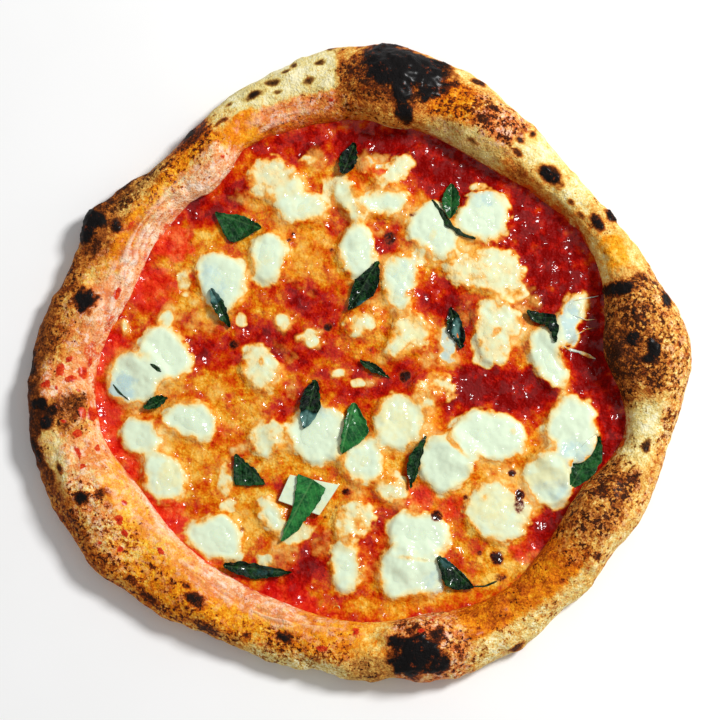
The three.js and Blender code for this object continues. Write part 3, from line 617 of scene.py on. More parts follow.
# How far pieces of mozzarella melted: 0 is a firm middle, and 1 has run out over the sauce.
MELTED = {
    "01": 0.35, "05": 0.35, "10": 0.25, "11": 0.6, "12": 0.6, "13": 0.5, "14": 0.45, "16": 0.35, "20": 0.15,
    "21": 0.45, "24": 0.2, "25": 0.6, "26": 0.15, "28": 0.4, "29": 0.8, "30": 0.4, "31": 0.4, "39": 0.8,
    "40": 0.55,
}

wall_at = wall_round()
plan_radius = np.hypot(plan_x, plan_y)
cheeses = sorted(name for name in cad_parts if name.startswith("mozzarella"))
cheeses.remove("mozzarella_slice")
cheese_top = np.zeros_like(plan_x)
firm = np.zeros_like(plan_x)
for node in cheeses:
    top = seen_from_above(node)
    cheese_top = np.maximum(cheese_top, top)
    firm = np.where(top > 0, 1 - 0.5 * MELTED.get(node[-2:], 0), firm)


def spread(field, cells):
    """A plan field smoothed over a number of its cells."""
    return soften(field, [cells, cells], [False, False])


def at_plan(field, x, y):
    """A plan field at places between its points."""
    column, row = (np.clip(along / PITCH + half, 0, len(axis) - 1.01) for along in (x, y))
    c, r = column.astype(int), row.astype(int)
    cs, rs = column - c, row - r
    near_row = field[r, c] * (1 - cs) + field[r, c + 1] * cs
    far_row = field[r + 1, c] * (1 - cs) + field[r + 1, c + 1] * cs
    return near_row * (1 - rs) + far_row * rs


run_x = 2.8 * lumps(plan, 8, 51) + 0.5 * lumps(plan, 3.2, 52)  # mm that the melting pulled the edges aside
run_y = 2.8 * lumps(plan, 8, 53) + 0.5 * lumps(plan, 3.2, 54)
near, skirt, around = (spread((cheese_top > 0).astype(float), cells) for cells in (3, 4.6, 9))


def patches(places, rough):
    """How strongly patches in the dish cover its plan: x, y, half length, half width, tilt, strength."""
    cover = np.zeros_like(plan_x)
    for at_x, at_y, along, across, tilt, strength in places:
        c, s = math.cos(math.radians(tilt)), math.sin(math.radians(tilt))
        off_x, off_y = plan_x - at_x, plan_y - at_y
        edge = np.hypot((off_x * c + off_y * s) / along, (off_y * c - off_x * s) / across)
        cover = np.maximum(cover, strength * (1 - ease(edge + rough, 0.5, 1.5)))
    return cover


# Where the sauce is deep red, which near the rim on the right and at the top is partly painted shade of
# the rim; where it is bright and fresh, where oil made it orange, and where thin cheese melted over it in
# films; then small burnt bits, and where the cheese is creamy or bluish.
DEEP = [
    (89, 48, 40, 20, -62, 1), (48, 94, 32, 15, -25, 1), (12, 107, 38, 9, 0, 1), (108, 14, 28, 14, 90, 1),
    (69, -16, 28, 13, 0, 1), (120, -38, 22, 8, 80, 0.9), (43, 33, 17, 12, 0, 0.8), (9, 59, 10, 8, 0, 0.8),
    (50, 20, 9, 9, 0, 0.7), (18, -10, 24, 7, 0, 0.7), (-27, 29, 16, 9, -40, 0.9), (-40, 9, 18, 9, -25, 0.9),
    (-71, 4, 15, 8, 0, 0.7), (-75, 74, 9, 8, 0, 0.9), (-60, 83, 11, 5, 80, 0.8), (9, -86, 18, 10, 70, 0.6),
    (87, -80, 16, 7, 45, 0.9), (-33, 104, 20, 7, 0, 0.8), (-36, -22, 14, 7, 60, 0.6),
    (-10, 69, 8, 5, 90, 0.5), (-24, -98, 15, 9, 45, 0.6), (100, -70, 12, 6, 60, 0.8),
    (62, 84, 14, 10, -20, 0.8), (112, -14, 16, 10, 90, 0.9),
]
BRIGHT = [
    (-120, -27, 22, 8, 95, 1), (-121, 4, 16, 10, 90, 1), (-106, -47, 14, 8, -60, 1),
    (-90, -76, 18, 8, -35, 1), (-71, -94, 9, 5, 0, 1), (-90, 57, 11, 9, 60, 0.8),
    (-101, 37, 14, 11, 40, 0.8), (-33, -114, 14, 7, -10, 0.9), (0, -118, 16, 7, 0, 0.3),
    (80, -93, 8, 7, 0, 0.6), (-62, -35, 9, 9, 0, 0.4), (30, -66, 10, 8, 0, 0.7), (45, -70, 12, 7, 0, 0.6),
    (10, 96, 8, 5, 0, 0.7), (-96, -66, 10, 6, -50, 0.9), (22, 24, 8, 5, 0, 0.4),
]
OIL = [
    (-75, 61, 15, 10, 0, 1), (-83, 49, 14, 6, 0, 0.9), (-42, 104, 9, 7, 0, 0.6), (-40, 28, 16, 8, 0, 0.6),
    (-66, 6, 6, 4, 0, 0.9), (-64, -10, 15, 8, 0, 0.8), (-53, -22, 18, 12, 0, 0.9), (-78, -48, 14, 15, 0, 0.9),
    (-46, -50, 12, 8, 0, 1), (-50, -66, 12, 6, 0, 1), (-51, -78, 10, 14, 0, 1), (-12, -71, 7, 11, 0, 0.9),
    (-23, -51, 12, 6, 0, 0.9), (16, -46, 7, 11, 0, 0.8), (57, -60, 16, 6, 0, 0.7), (70, -97, 22, 12, 20, 1),
    (48, -83, 8, 8, 0, 0.7), (37, 43, 7, 10, 0, 0.6), (57, 35, 9, 6, 0, 0.8), (50, 54, 10, 5, 0, 0.8),
    (-20, 97, 8, 7, 0, 0.7), (-24, 52, 18, 20, 0, 0.7), (-55, 60, 8, 12, 0, 0.7), (-91, -9, 8, 5, 0, 0.8),
    (12, -118, 16, 5, 0, 0.9), (36, -112, 14, 5, 10, 0.9), (55, -104, 16, 7, 20, 0.9),
    (80, -45, 8, 12, 0, 0.6), (-46, 75, 8, 6, 0, 0.6), (-66, -62, 8, 10, 0, 0.8), (0, -4, 14, 8, 0, 0.4),
    (-80, 28, 12, 8, 0, 0.8),
]
FILMS = [
    (-24, 53, 15, 17, 0, 0.42), (-76, 23, 15, 11, 0, 0.5), (-68, -14, 8, 6, 0, 0.42),
    (-78, -48, 13, 13, 0, 0.34), (-47, -23, 7, 5, 0, 0.5), (50, 53, 11, 5, 0, 0.6), (-63, -55, 5, 9, 0, 0.55),
    (-36, -89, 7, 10, 0, 0.6), (-37, 20, 6.5, 5.5, 0, 0.85), (-24, 12, 6.5, 5, 0, 0.75),
    (-10, -6, 6, 3, 0, 0.7), (43, 9, 7, 11, 0, 0.75), (-94, 20, 9, 4, 60, 0.7), (-56, -42, 6, 3, 20, 0.75),
    (-22, 100, 7, 6, 0, 0.6), (9, 30, 8, 8, 0, 0.5), (-3, 35, 5, 8, 0, 0.5), (30, 52, 6, 6, 0, 0.5),
    (75, 30, 12, 9, 0, 0.55), (-15, 82, 5, 9, 0, 0.45), (16, -100, 5, 6, 0, 0.4), (-51, -78, 8, 12, 0, 0.4),
    (-60, 30, 6, 8, 0, 0.4), (-113, 18, 3, 5, 0, 0.7), (6, -10, 5, 3, 0, 0.5), (6, 99, 9, 5, 0, 0.6),
    (28, 78, 7, 5, 0, 0.35), (5, 66, 9, 6, 0, 0.4), (38, 50, 12, 4, 0, 0.6), (52, 24, 6, 8, 0, 0.4),
    (80, 20, 6, 12, 0, 0.45), (35, 0, 8, 6, 0, 0.5), (12, 2, 8, 5, 0, 0.45), (94, -44, 6, 8, 0, 0.55),
    (-99, -22, 8, 8, 0, 0.4), (-92, -40, 10, 6, 0, 0.5), (-86, -12, 10, 5, 0, 0.4), (0, -62, 8, 6, 0, 0.5),
    (26, -92, 14, 3, 0, 0.5), (-16, -88, 6, 8, 0, 0.4), (-30, -14, 5, 6, 60, 0.4), (-34, 4, 5, 8, 40, 0.35),
    (82, -62, 6, 6, 0, 0.4), (46, -66, 10, 4, 0, 0.35), (-48, 80, 14, 6, 0, 0.5),
]
BURNT_BITS = [
    (-60, 9, 2.2, 2.2, 0, 1), (-15, 17, 2, 2, 0, 1), (22.5, -7, 2.4, 2.4, 0, 1.2), (15, 61, 3, 2.6, 0, 0.9),
    (-5.5, -63, 2.2, 1.5, 0, 1), (37, -74, 2.5, 2.5, 0, 1), (51, -66, 1.5, 1.5, 0, 0.9),
    (66, -95, 3.3, 3.3, 0, 1.1), (57.5, -92, 1.4, 1.4, 0, 1), (68, -104, 3.8, 2.5, 0, 0.7),
    (73, -54, 1.8, 1.8, 0, 0.9), (6, 6, 1.2, 1.2, 0, 1), (-82, 22, 2.1, 1.2, 20, 0.7),
    (-32, 63, 1, 1, 0, 0.9), (-34, 60, 0.8, 0.8, 0, 0.9), (-13, 55, 1, 1, 0, 0.8), (-24, 43, 1, 1, 0, 0.8),
    (-55, -81, 1.4, 1.4, 0, 0.7), (26, 72, 1.8, 0.9, 0, 0.8), (77, -64, 2.2, 2.5, 0, 1.2),
    (76.5, -69, 2.2, 3.6, 0, 0.62), (-10.5, -70, 0.9, 0.9, 0, 1), (-16, -75, 0.9, 0.9, 0, 1),
]
CREAM = [
    (90, -55, 9, 8, 0, 1), (-92, -55, 7, 8, 0, 1), (64, -70, 12, 10, 0, 0.8), (20, -28, 11, 10, 0, 0.8),
    (61, 45, 18, 9, 0, 0.6), (66, 18, 9, 11, 0, 0.4), (24, 11, 10, 10, 0, 0.6), (1, -50, 8, 7, 0, 0.5),
    (-44, 50, 6, 9, 0, 0.4), (-28, 75, 9, 5, 0, 0.4), (-5, 78, 4, 9, 0, 0.6), (-2, 56, 5, 9, 0, 0.4),
]
BLUISH = [
    (-116, -13, 8, 8, 0, 1), (101, 20, 5, 12, 0, 0.9), (62, 80, 10, 5, 0, 0.6), (-71, 40, 8, 10, 0, 0.6),
    (24, 42, 8, 12, 0, 0.4), (43, 9, 6, 8, 0, 0.8), (103, -44, 10, 7, 0, 0.7), (92, -62, 8, 5, 0, 0.6),
    (38, -106, 6, 7, 0, 0.7), (6, 98, 8, 5, 0, 0.7), (-19, -22, 10, 5, 0, 0.4), (33, 88, 4, 8, 0, 0.3),
]

# Holes and thin places in the cheese, where the sauce shows, and small smears of cheese between pieces.
HOLES = [
    (-46, -1, 1.8, 3.4, 15, 0.9), (-40.5, -41.5, 1.5, 1.8, 0, 0.9), (74, -34.5, 2.2, 2.2, 0, 0.6),
    (-44, -29.5, 1.4, 1.4, 0, 0.8), (47, -42, 8, 1.4, -45, 0.9), (86, -51, 1.6, 1.6, 0, 0.5),
    (60, -66, 3, 1.6, 30, 0.5), (9, 95, 7, 3.4, 20, 0.9), (36, 62, 1.6, 3.2, -20, 0.6),
    (24, 33, 3, 1.6, 40, 0.6), (68, 30, 2, 4, 0, 0.7), (58, 46, 4, 1.6, 10, 0.6), (-84, 37, 1.2, 1.2, 0, 0.6),
    (30, -96, 12, 1.2, -8, 0.8), (66, 14, 3, 2, 40, 0.7), (-92, -54, 1.4, 2, 0, 0.4), (34, -12, 9, 6, 0, 0.5),
    (-43, -37, 9, 9, 0, 0.35), (-3, -76, 8, 8, 0, 0.4), (2, 19, 8, 6, 0, 0.35), (24, 12, 8, 8, 0, 0.25),
    (-47, -2, 10, 12, 0, 0.25), (-28, 74, 10, 6, 0, 0.3), (56, 44, 14, 6, 0, 0.2),
]
SMEARS = [
    (-31, -84, 10, 4, 20, 1), (-37, 20, 5, 5, 0, 1), (-24, 12, 5, 4, 0, 0.9), (-10, -6, 4.5, 2.5, 0, 0.9),
    (0, -10, 4, 2, 0, 0.8), (43, 9, 5, 9, 0, 0.9), (-62, -70, 4, 3, 30, 0.9), (-64, -58, 3, 6, 0, 0.8),
    (-94, 19, 6, 3, 60, 0.9), (-57, 21, 3, 3, 0, 0.8), (-24, 100, 5, 3, 0, 0.8), (-15, 84, 3, 7, 0, 0.8),
    (48, 45, 8, 3, 0, 0.9), (75, 34, 6, 5, 0, 0.8), (62, 8, 5, 7, 0, 0.8), (30, 52, 4, 5, 0, 0.8),
    (-113, 18, 2, 4, 0, 0.9), (13, 96, 6, 2, 0, 0.7), (-46, -96, 5, 3, 0, 0.7), (60, 2, 6, 4, -20, 0.9),
    (68, 3, 5, 2.4, 30, 0.8), (56, 10, 3, 5, 0, 0.8), (58, 86, 4, 2.4, 0, 0.7), (52, -50, 5, 3, 0, 0.7),
    (40, 70, 4, 3, 0, 0.7), (-84, 40, 4, 8, 10, 0.6), (16, -54, 4, 3, 0, 0.7), (90, -34, 5, 3, 0, 0.6),
]
# The deep red patches are partly painted shade, near the rim on the right and at the top.
deep, bright, oil, film = (patches(places, plan_ragged) for places in (DEEP, BRIGHT, OIL, FILMS))
film = np.maximum(film, 0.75 * ease(around + 0.16 * lumps(plan, 9, 55), 0.16, 0.6) * (1 - 0.95 * deep))
scorch = spread(patches(BURNT_BITS, 1.2 * plan_ragged), 0.8)
torn = at_plan(firm, plan_x + run_x, plan_y + run_y)
firm = 0.92 * spread(torn, 2.8) + 0.27 * spread(torn, 7) - 0.6 * patches(HOLES, plan_ragged)
firm = np.maximum(firm, 0.72 * patches(SMEARS, 1.4 * plan_ragged))
fields = {
    # The fat field is lowered where the sauce is deep red, so it carries that painted shade too.
    "fat": np.clip(0.6 + 0.3 * oil - 0.5 * deep + 0.4 * (around - 0.35) + 0.1 * plan_ragged, 0, 1),
    "bright": bright,
    "film": film,
    "milk": firm,
    "scorch": scorch,
    "near": near,
    "cream": patches(CREAM, plan_ragged),
    "bluish": patches(BLUISH, plan_ragged),
}

sauce_skin = skin_of("tomato_sauce")


def sauce_level():
    """The height of the sauce's solid, in mm, felt from above on every eighth point and filled in."""
    coarse = axis[::8]
    level = np.full((len(coarse), len(coarse)), LEVEL_BESIDE)
    for row, y in enumerate(coarse):
        for column, x in enumerate(coarse):
            top = top_of(sauce_skin, *(ORIGIN[:2] + [x * MM, y * MM]))
            if top:
                level[row, column] = max(top / MM, LEVEL_LEAST)
    rows = np.array([np.interp(axis, coarse, line) for line in level])
    return np.array([np.interp(axis, coarse, line) for line in rows.T]).T


pulp = 0.3 * lumps(plan, 6, 41) + 0.26 * lumps(plan, 2.8, 42) + 0.08 * lumps(plan, 1.7, 43)
calm = np.clip(0.7 * film + 0.3 * oil + 0.4 * near, 0, 0.85)
uneven_shore = np.clip(1.3 + 1.3 * lumps(plan, 9, 45) + 0.8 * lumps(plan, 4, 46), 0, 3)
past_wall = plan_radius - wall_at
climb = uneven_shore * np.exp(np.clip(past_wall, -30, 0) / 2.6) * (1 - ease(past_wall, 1.2, 3))
level = sauce_level() + pulp * (1 - calm) + 0.6 * ease(film, 0.2, 0.7) + climb + 0.2 * ease(scorch, 0.4, 0.9)
crest = cheese_top  # the top of the nearest cheese, up to about 6 mm beside it
for _ in range(9):
    sides = [np.roll(crest, shift, axis=side) for shift in (-1, 1) for side in (0, 1)]
    crest = np.max([crest, *sides], axis=0)
crest = spread(crest, 1.6) / np.maximum(spread((crest > 0).astype(float), 1.6), 1e-3)
flush = crest - 0.25 + 0.3 * lumps(plan, 4, 56) + 0.12 * lumps(plan, 1.8, 57)
leaf_top = np.max([seen_from_above(name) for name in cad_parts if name.startswith("basil")], axis=0)
flush = np.where(leaf_top > 0, np.minimum(flush, leaf_top - 1.3), flush)  # the leaves lie on top
height = level + ease(skirt, 0.03, 0.5) * (np.maximum(flush, level) - level)


def dish_slab(name, top_mm, inside):
    """A closed slab whose top follows a height over the plan, out to the edge of what is inside. Also
    gives which points of the plan it uses, and how many points its underside has."""
    cells = inside[:-1, :-1] & inside[:-1, 1:] & inside[1:, 1:] & inside[1:, :-1]
    used = np.zeros_like(inside)
    for rows in (slice(None, -1), slice(1, None)):
        for columns in (slice(None, -1), slice(1, None)):
            used[rows, columns] |= cells
    index = np.full(inside.shape, -1)
    index[used] = np.arange(used.sum())
    top = np.stack([plan_x[used], plan_y[used], top_mm[used]], 1) * MM + ORIGIN
    quads = np.stack([index[:-1, :-1], index[:-1, 1:], index[1:, 1:], index[1:, :-1]], -1)[cells]
    sides = np.concatenate([np.stack([quads[:, i], quads[:, (i + 1) % 4]], 1) for i in range(4)])
    sides = {(a, b) for a, b in sides.tolist()}
    border = {a: b for a, b in sides if (b, a) not in sides}
    loop = [min(border)]
    while border[loop[-1]] != loop[0]:
        loop.append(border[loop[-1]])
    base, count = len(top), len(loop)
    bottom = top[loop] * [1, 1, 0] + [0, 0, SAUCE_UNDER]
    wall = [(loop[(i + 1) % count], loop[i], base + i, base + (i + 1) % count) for i in range(count)]
    faces = quads.tolist() + wall + [list(range(base + count - 1, base - 1, -1))]
    return solid_from(name, np.concatenate([top, bottom]), faces), used, count


sauce, sauce_points, below_count = dish_slab("crushed_tomato", height, plan_radius < wall_at + SINK)
below = np.zeros(below_count)
note(sauce, **{name: np.concatenate([field[sauce_points], below]) for name, field in fields.items()})

FIELD_SOCKETS = [name.capitalize() for name in fields]


def make_topping_colour():
    """The colours of baked sauce and of cheese that melted into it, so that each runs into the other."""
    group = bpy.data.node_groups.new("Sauce and melted cheese", "ShaderNodeTree")
    group.interface.new_socket("Place", in_out="INPUT", socket_type="NodeSocketVector")
    for name in FIELD_SOCKETS:
        group.interface.new_socket(name, in_out="INPUT", socket_type="NodeSocketFloat")
    group.interface.new_socket("Colour", in_out="OUTPUT", socket_type="NodeSocketColor")
    for name in ("Wet", "Height"):
        group.interface.new_socket(name, in_out="OUTPUT", socket_type="NodeSocketFloat")
    ins, outs = group.nodes.new("NodeGroupInput").outputs, group.nodes.new("NodeGroupOutput").inputs
    place = ins["Place"]
    cloud = noise(group, place, 7, 4, 0.6, 1)
    mottle = noise(group, place, 2.8, 4, 0.62, 3)
    grain = noise(group, place, 1.0, 3, 0.6, 5)
    bits, flesh = noise(group, place, 1.2, 1, 0.5, 2), noise(group, place, 2.3, 1, 0.5, 4)
    pulp = total(group, (bits, 0.35), (flesh, 0.6))
    # Sauce, from deep red to orange with fat, and livelier where it stayed fresh. Its darkest red near the
    # rim on the right and at the top is partly painted shade.
    fatty = total(group, ins["Fat"], (ins["Near"], 0.1), (cloud, 1.4), (mottle, 0.7))
    fat = total(group, fatty, (grain, 0.5), (pulp, 0.12))
    sauce = ramp(
        group, fat, (0, 128, 2, 0), (0.18, 166, 8, 0), (0.34, 190, 30, 0), (0.5, 204, 68, 0),
        (0.66, 218, 112, 4), (0.82, 232, 156, 30), (1, 244, 198, 92),
    )
    lively = ramp(group, fat, (0, 164, 2, 2), (0.3, 200, 14, 4), (0.6, 226, 56, 20), (1, 246, 130, 70))
    colour = lay(group, sauce, lively, rise(group, total(group, ins["Bright"], (mottle, 1.2)), 0.3, 0.8))
    # Films of thin cheese and oil over it.
    veil = total(group, ins["Film"], (cloud, 1.0), (noise(group, place, 3.4, 2, 0.5, 12), 0.7))
    skin = ramp(
        group, veil, (0.1, 228, 108, 12), (0.35, 236, 148, 38), (0.6, 240, 182, 84), (0.85, 242, 216, 146),
    )
    film = rise(group, veil, 0.12, 0.8)
    colour = lay(group, colour, skin, times(group, film, 0.78))
    # Cheese, from orange where it is thin to milky in the middle: the more it ran, the more it varies.
    broad, narrow = noise(group, place, 5.5, 1, 0.5, 7), noise(group, place, 2.4, 2, 0.5, 8)
    present = rise(group, total(group, ins["Near"], ins["Milk"]), 0.05, 0.5)
    loose = times(group, total(group, (ins["Milk"], -1.0), 1.3), present)
    uneven = times(group, total(group, (broad, 1.5), (narrow, 0.5)), loose)
    milk = total(group, ins["Milk"], uneven, (cloud, 0.3))
    melt = ramp(
        group, milk, (0.2, 230, 114, 16), (0.34, 238, 156, 50), (0.46, 242, 196, 110), (0.58, 240, 222, 164),
        (0.72, 232, 230, 180), (0.86, 230, 238, 200), (1, 222, 238, 208),
    )
    creamy = rise(group, total(group, ins["Cream"], (cloud, 2.0), mottle), 0.3, 1.1)
    creamy = times(group, times(group, creamy, 0.6), rise(group, milk, 0.5, 0.7))
    melt = lay(group, melt, hue(240, 230, 164), creamy)
    watery = rise(group, total(group, ins["Bluish"], (cloud, 1.5), mottle), 0.2, 1.1)
    watery = times(group, times(group, watery, 0.7), rise(group, milk, 0.4, 0.6))
    melt = lay(group, melt, hue(172, 206, 214), watery)
    colour = lay(group, colour, melt, rise(group, milk, 0.14, 0.44))
    scorched = times(group, ins["Scorch"], total(group, 1.0, (grain, 1.6), (mottle, 2.4)))
    charred = ramp(group, scorched, (0.2, 190, 80, 12), (0.5, 136, 42, 8), (0.75, 84, 22, 6), (1, 38, 12, 6))
    colour = lay(group, colour, charred, rise(group, scorched, 0.1, 0.7))
    group.links.new(colour, outs["Colour"])
    # Wet in patches, and pulpy where neither cheese nor a film covers it.
    wet = total(group, noise(group, place, 7, 3, 0.6, 15), (rise(group, ins["Near"], 0.0, 0.5), 0.05))
    group.links.new(rise(group, wet, -0.03, 0.08), outs["Wet"])
    smooth = sums(group, "MAXIMUM", rise(group, milk, 0.35, 0.8), times(group, film, 0.4))
    pulpy = times(group, pulp, total(group, (smooth, -0.96), 1.0))
    group.links.new(total(group, pulpy, (noise(group, place, 5, 1, 0.5, 9), 0.5)), outs["Height"])
    return group


TOPPING_COLOUR = make_topping_colour()


def make_topping_finish(name, looks, wetness, depth):
    """Sauce or cheese, under a coat of juice and oil with small waves of its own that glint."""
    material, tree, shader, place = finish_named(name, {"Coat Roughness": 0.14, **looks})
    topping = add(tree, "Group", node_tree=TOPPING_COLOUR)
    tree.links.new(place, topping.inputs["Place"])
    for mask in FIELD_SOCKETS:
        tree.links.new(mask_of(tree, mask.lower()), topping.inputs[mask])
    tree.links.new(topping.outputs["Colour"], shader.inputs["Base Color"])
    tree.links.new(times(tree, topping.outputs["Wet"], wetness), shader.inputs["Coat Weight"])
    waves = total(tree, noise(tree, place, 4.4, 0, 0.5, 31), (noise(tree, place, 2.0, 0, 0.5, 32), 0.35))
    roughen(tree, waves, 1.7 * MM, shader.inputs["Coat Normal"])
    roughen(tree, topping.outputs["Height"], depth, shader.inputs["Normal"])
    return material


SAUCE_LOOKS = {"Roughness": 0.5, "Specular IOR Level": 0.05}
sauce_finish = make_topping_finish("Baked tomato sauce", SAUCE_LOOKS, 0.75, 1.3 * MM)
dress(sauce, sauce_finish, "tomato_sauce")

# ==========================================================================================
# Mozzarella
# Fresh cow's milk mozzarella, torn or cut and drained, then dropped on the sauce. The thick pieces
# kept milky middles, the thin ones ran out and let the sauce show, and their edges took up orange fat.


def reworked(node, name, *changes):
    """A copy of a solid, welded and changed by modifiers: each a kind and its settings."""
    piece = bpy.data.objects.new(name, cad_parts[node].data.copy())
    bpy.context.collection.objects.link(piece)
    for kind, settings in (("WELD", {"merge_threshold": 1e-6}), *changes):
        change = piece.modifiers.new(kind.lower(), kind)
        for key, value in settings.items():
            setattr(change, key, value)
    mesh = bpy.data.meshes.new_from_object(piece.evaluated_get(bpy.context.evaluated_depsgraph_get()))
    piece.modifiers.clear()
    piece.data = mesh
    mesh.materials.clear()
    return piece


def places_of(mesh):
    """Where the points of a mesh are, in mm from the middle of the dish."""
    points = np.zeros(len(mesh.vertices) * 3)
    mesh.vertices.foreach_get("co", points)
    return (points.reshape(-1, 3) - ORIGIN) / MM


WIDE = 20 * MM  # a piece wider than this is split once more, so that all have a grain of about 0.5 mm


def melted(node, melt, seed):
    """A piece of cheese: its solid rounded off, with an uneven edge and a softly dented top."""
    width = np.ptp(np.array(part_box(node)), axis=0)[:2].max()
    piece = reworked(node, node + "_melted", ("SUBSURF", {"levels": 3 if width > WIDE else 2}))
    mesh = piece.data
    mm = places_of(mesh)
    bottom = mm[:, 2].min()
    out = mm[:, :2] - mm[:, :2].mean(0)
    out /= np.linalg.norm(out, axis=1)[:, None] + 1e-6
    up = ease(mm[:, 2], bottom + 0.3, bottom + 1.5)
    dents = (0.25 + 0.35 * melt) * lumps(mm, 6.5, seed + 2)
    dents += (0.02 + 0.24 * melt) * lumps(mm, 3.2, seed + 3)
    mm[:, :2] += out * (0.9 * lumps(mm, 6, seed) + 0.35 * lumps(mm, 2.8, seed + 1))[:, None]
    mm[:, 2] += dents * up - 0.35 * (1 - up)
    mesh.vertices.foreach_set("co", (mm * MM + ORIGIN).ravel())
    mesh.shade_smooth()
    note(piece, **{name: at_plan(field, mm[:, 0], mm[:, 1]) for name, field in fields.items()})
    return piece


CHEESE_LOOKS = {
    "Roughness": 0.4,
    "Specular IOR Level": 0.2,
    "Subsurface Weight": 0.15,
    "Subsurface Radius": (1.0, 0.8, 0.5),
    "Subsurface Scale": 1.5 * MM,
}
CHEESE_FINISH = make_topping_finish("Melted mozzarella", CHEESE_LOOKS, 0.8, 1.4 * MM)
for number, node in enumerate(cheeses):
    dress(melted(node, MELTED.get(node[-2:], 0), 100 + 5 * number), CHEESE_FINISH, node)

# The slice was laid on after the baking: it has sharp corners, with a small round on its edges.
sliced = reworked("mozzarella_slice", "mozzarella_slice_cut", ("BEVEL", {"width": 0.35 * MM, "segments": 3}))
slice_masks = {**dict.fromkeys(fields, 0), "fat": 0.5, "milk": 1.2, "near": 1, "cream": 0.45}
note(sliced, **slice_masks)
dress(sliced, CHEESE_FINISH, "mozzarella_slice")


STRIP_THICK = 0.44  # mm


def strips(name, paths):
    """Thin closed strips laid over the toppings, as one mesh: each a half width and its places in mm."""
    points, faces = [], []
    turn = np.radians(np.arange(8) * 45)
    share = np.linspace(0, 1, 30)
    for number, (half_width, *path) in enumerate(paths):
        knots = np.linspace(0, 1, len(path))
        x, y = (soften(np.interp(share, knots, [spot[i] for spot in path]), [1.5], [False]) for i in (0, 1))
        run = np.hypot(np.gradient(x), np.gradient(y))
        side = np.stack([-np.gradient(y) / run, np.gradient(x) / run], 1)
        frayed = 1 + 0.5 * lumps(np.stack([x, y, 0 * x], 1), 2.4, 400 + number)
        half_at = half_width * frayed * np.sin(math.pi * np.clip(share, 0.03, 0.97)) ** 0.6
        rest = at_plan(np.maximum(height, cheese_top), x, y) + 0.15
        flat = np.stack([x, y], 1)[:, None] + side[:, None] * (half_at[:, None] * np.cos(turn))[..., None]
        up = rest[:, None] + STRIP_THICK / 2 * np.sin(turn)
        rings = np.concatenate([flat, up[..., None]], -1) * MM + ORIGIN
        faces += ring_faces(len(share), len(turn), len(points))
        points += [rings[0].mean(0), *rings.reshape(-1, 3), rings[-1].mean(0)]
    return solid_from(name, np.array(points), faces)


# Threads and torn shreds that the cheese drew out as it melted.
THREADS = [
    (0.9, (98, 6.5), (106, 4.5), (114, 1)), (0.3, (103, 29), (109, 30.5), (116, 32)),
    (0.3, (103, 22), (109, 20), (114, 20.5)), (0.25, (104, 12), (109, 15.5), (114, 16.5)),
    (0.4, (-12, -118.6), (-11, -117.2), (-9, -117.4), (-8.4, -119)),
]
threads = strips("cheese_threads", THREADS)
note(threads, **{**slice_masks, "milk": 0.5, "bluish": 1.0, "cream": 0})
dress(threads, CHEESE_FINISH, None)

# ==========================================================================================
# Basil
# Whole leaves from the top of the plant. Those that went into the oven wilted, darkened and took up
# oil; a few were laid on late and stayed green. Each is a thin blade with a midrib and side veins.

LEAF_THICK = 0.5  # mm
LEAF_ROWS, LEAF_COLUMNS = 40, 21
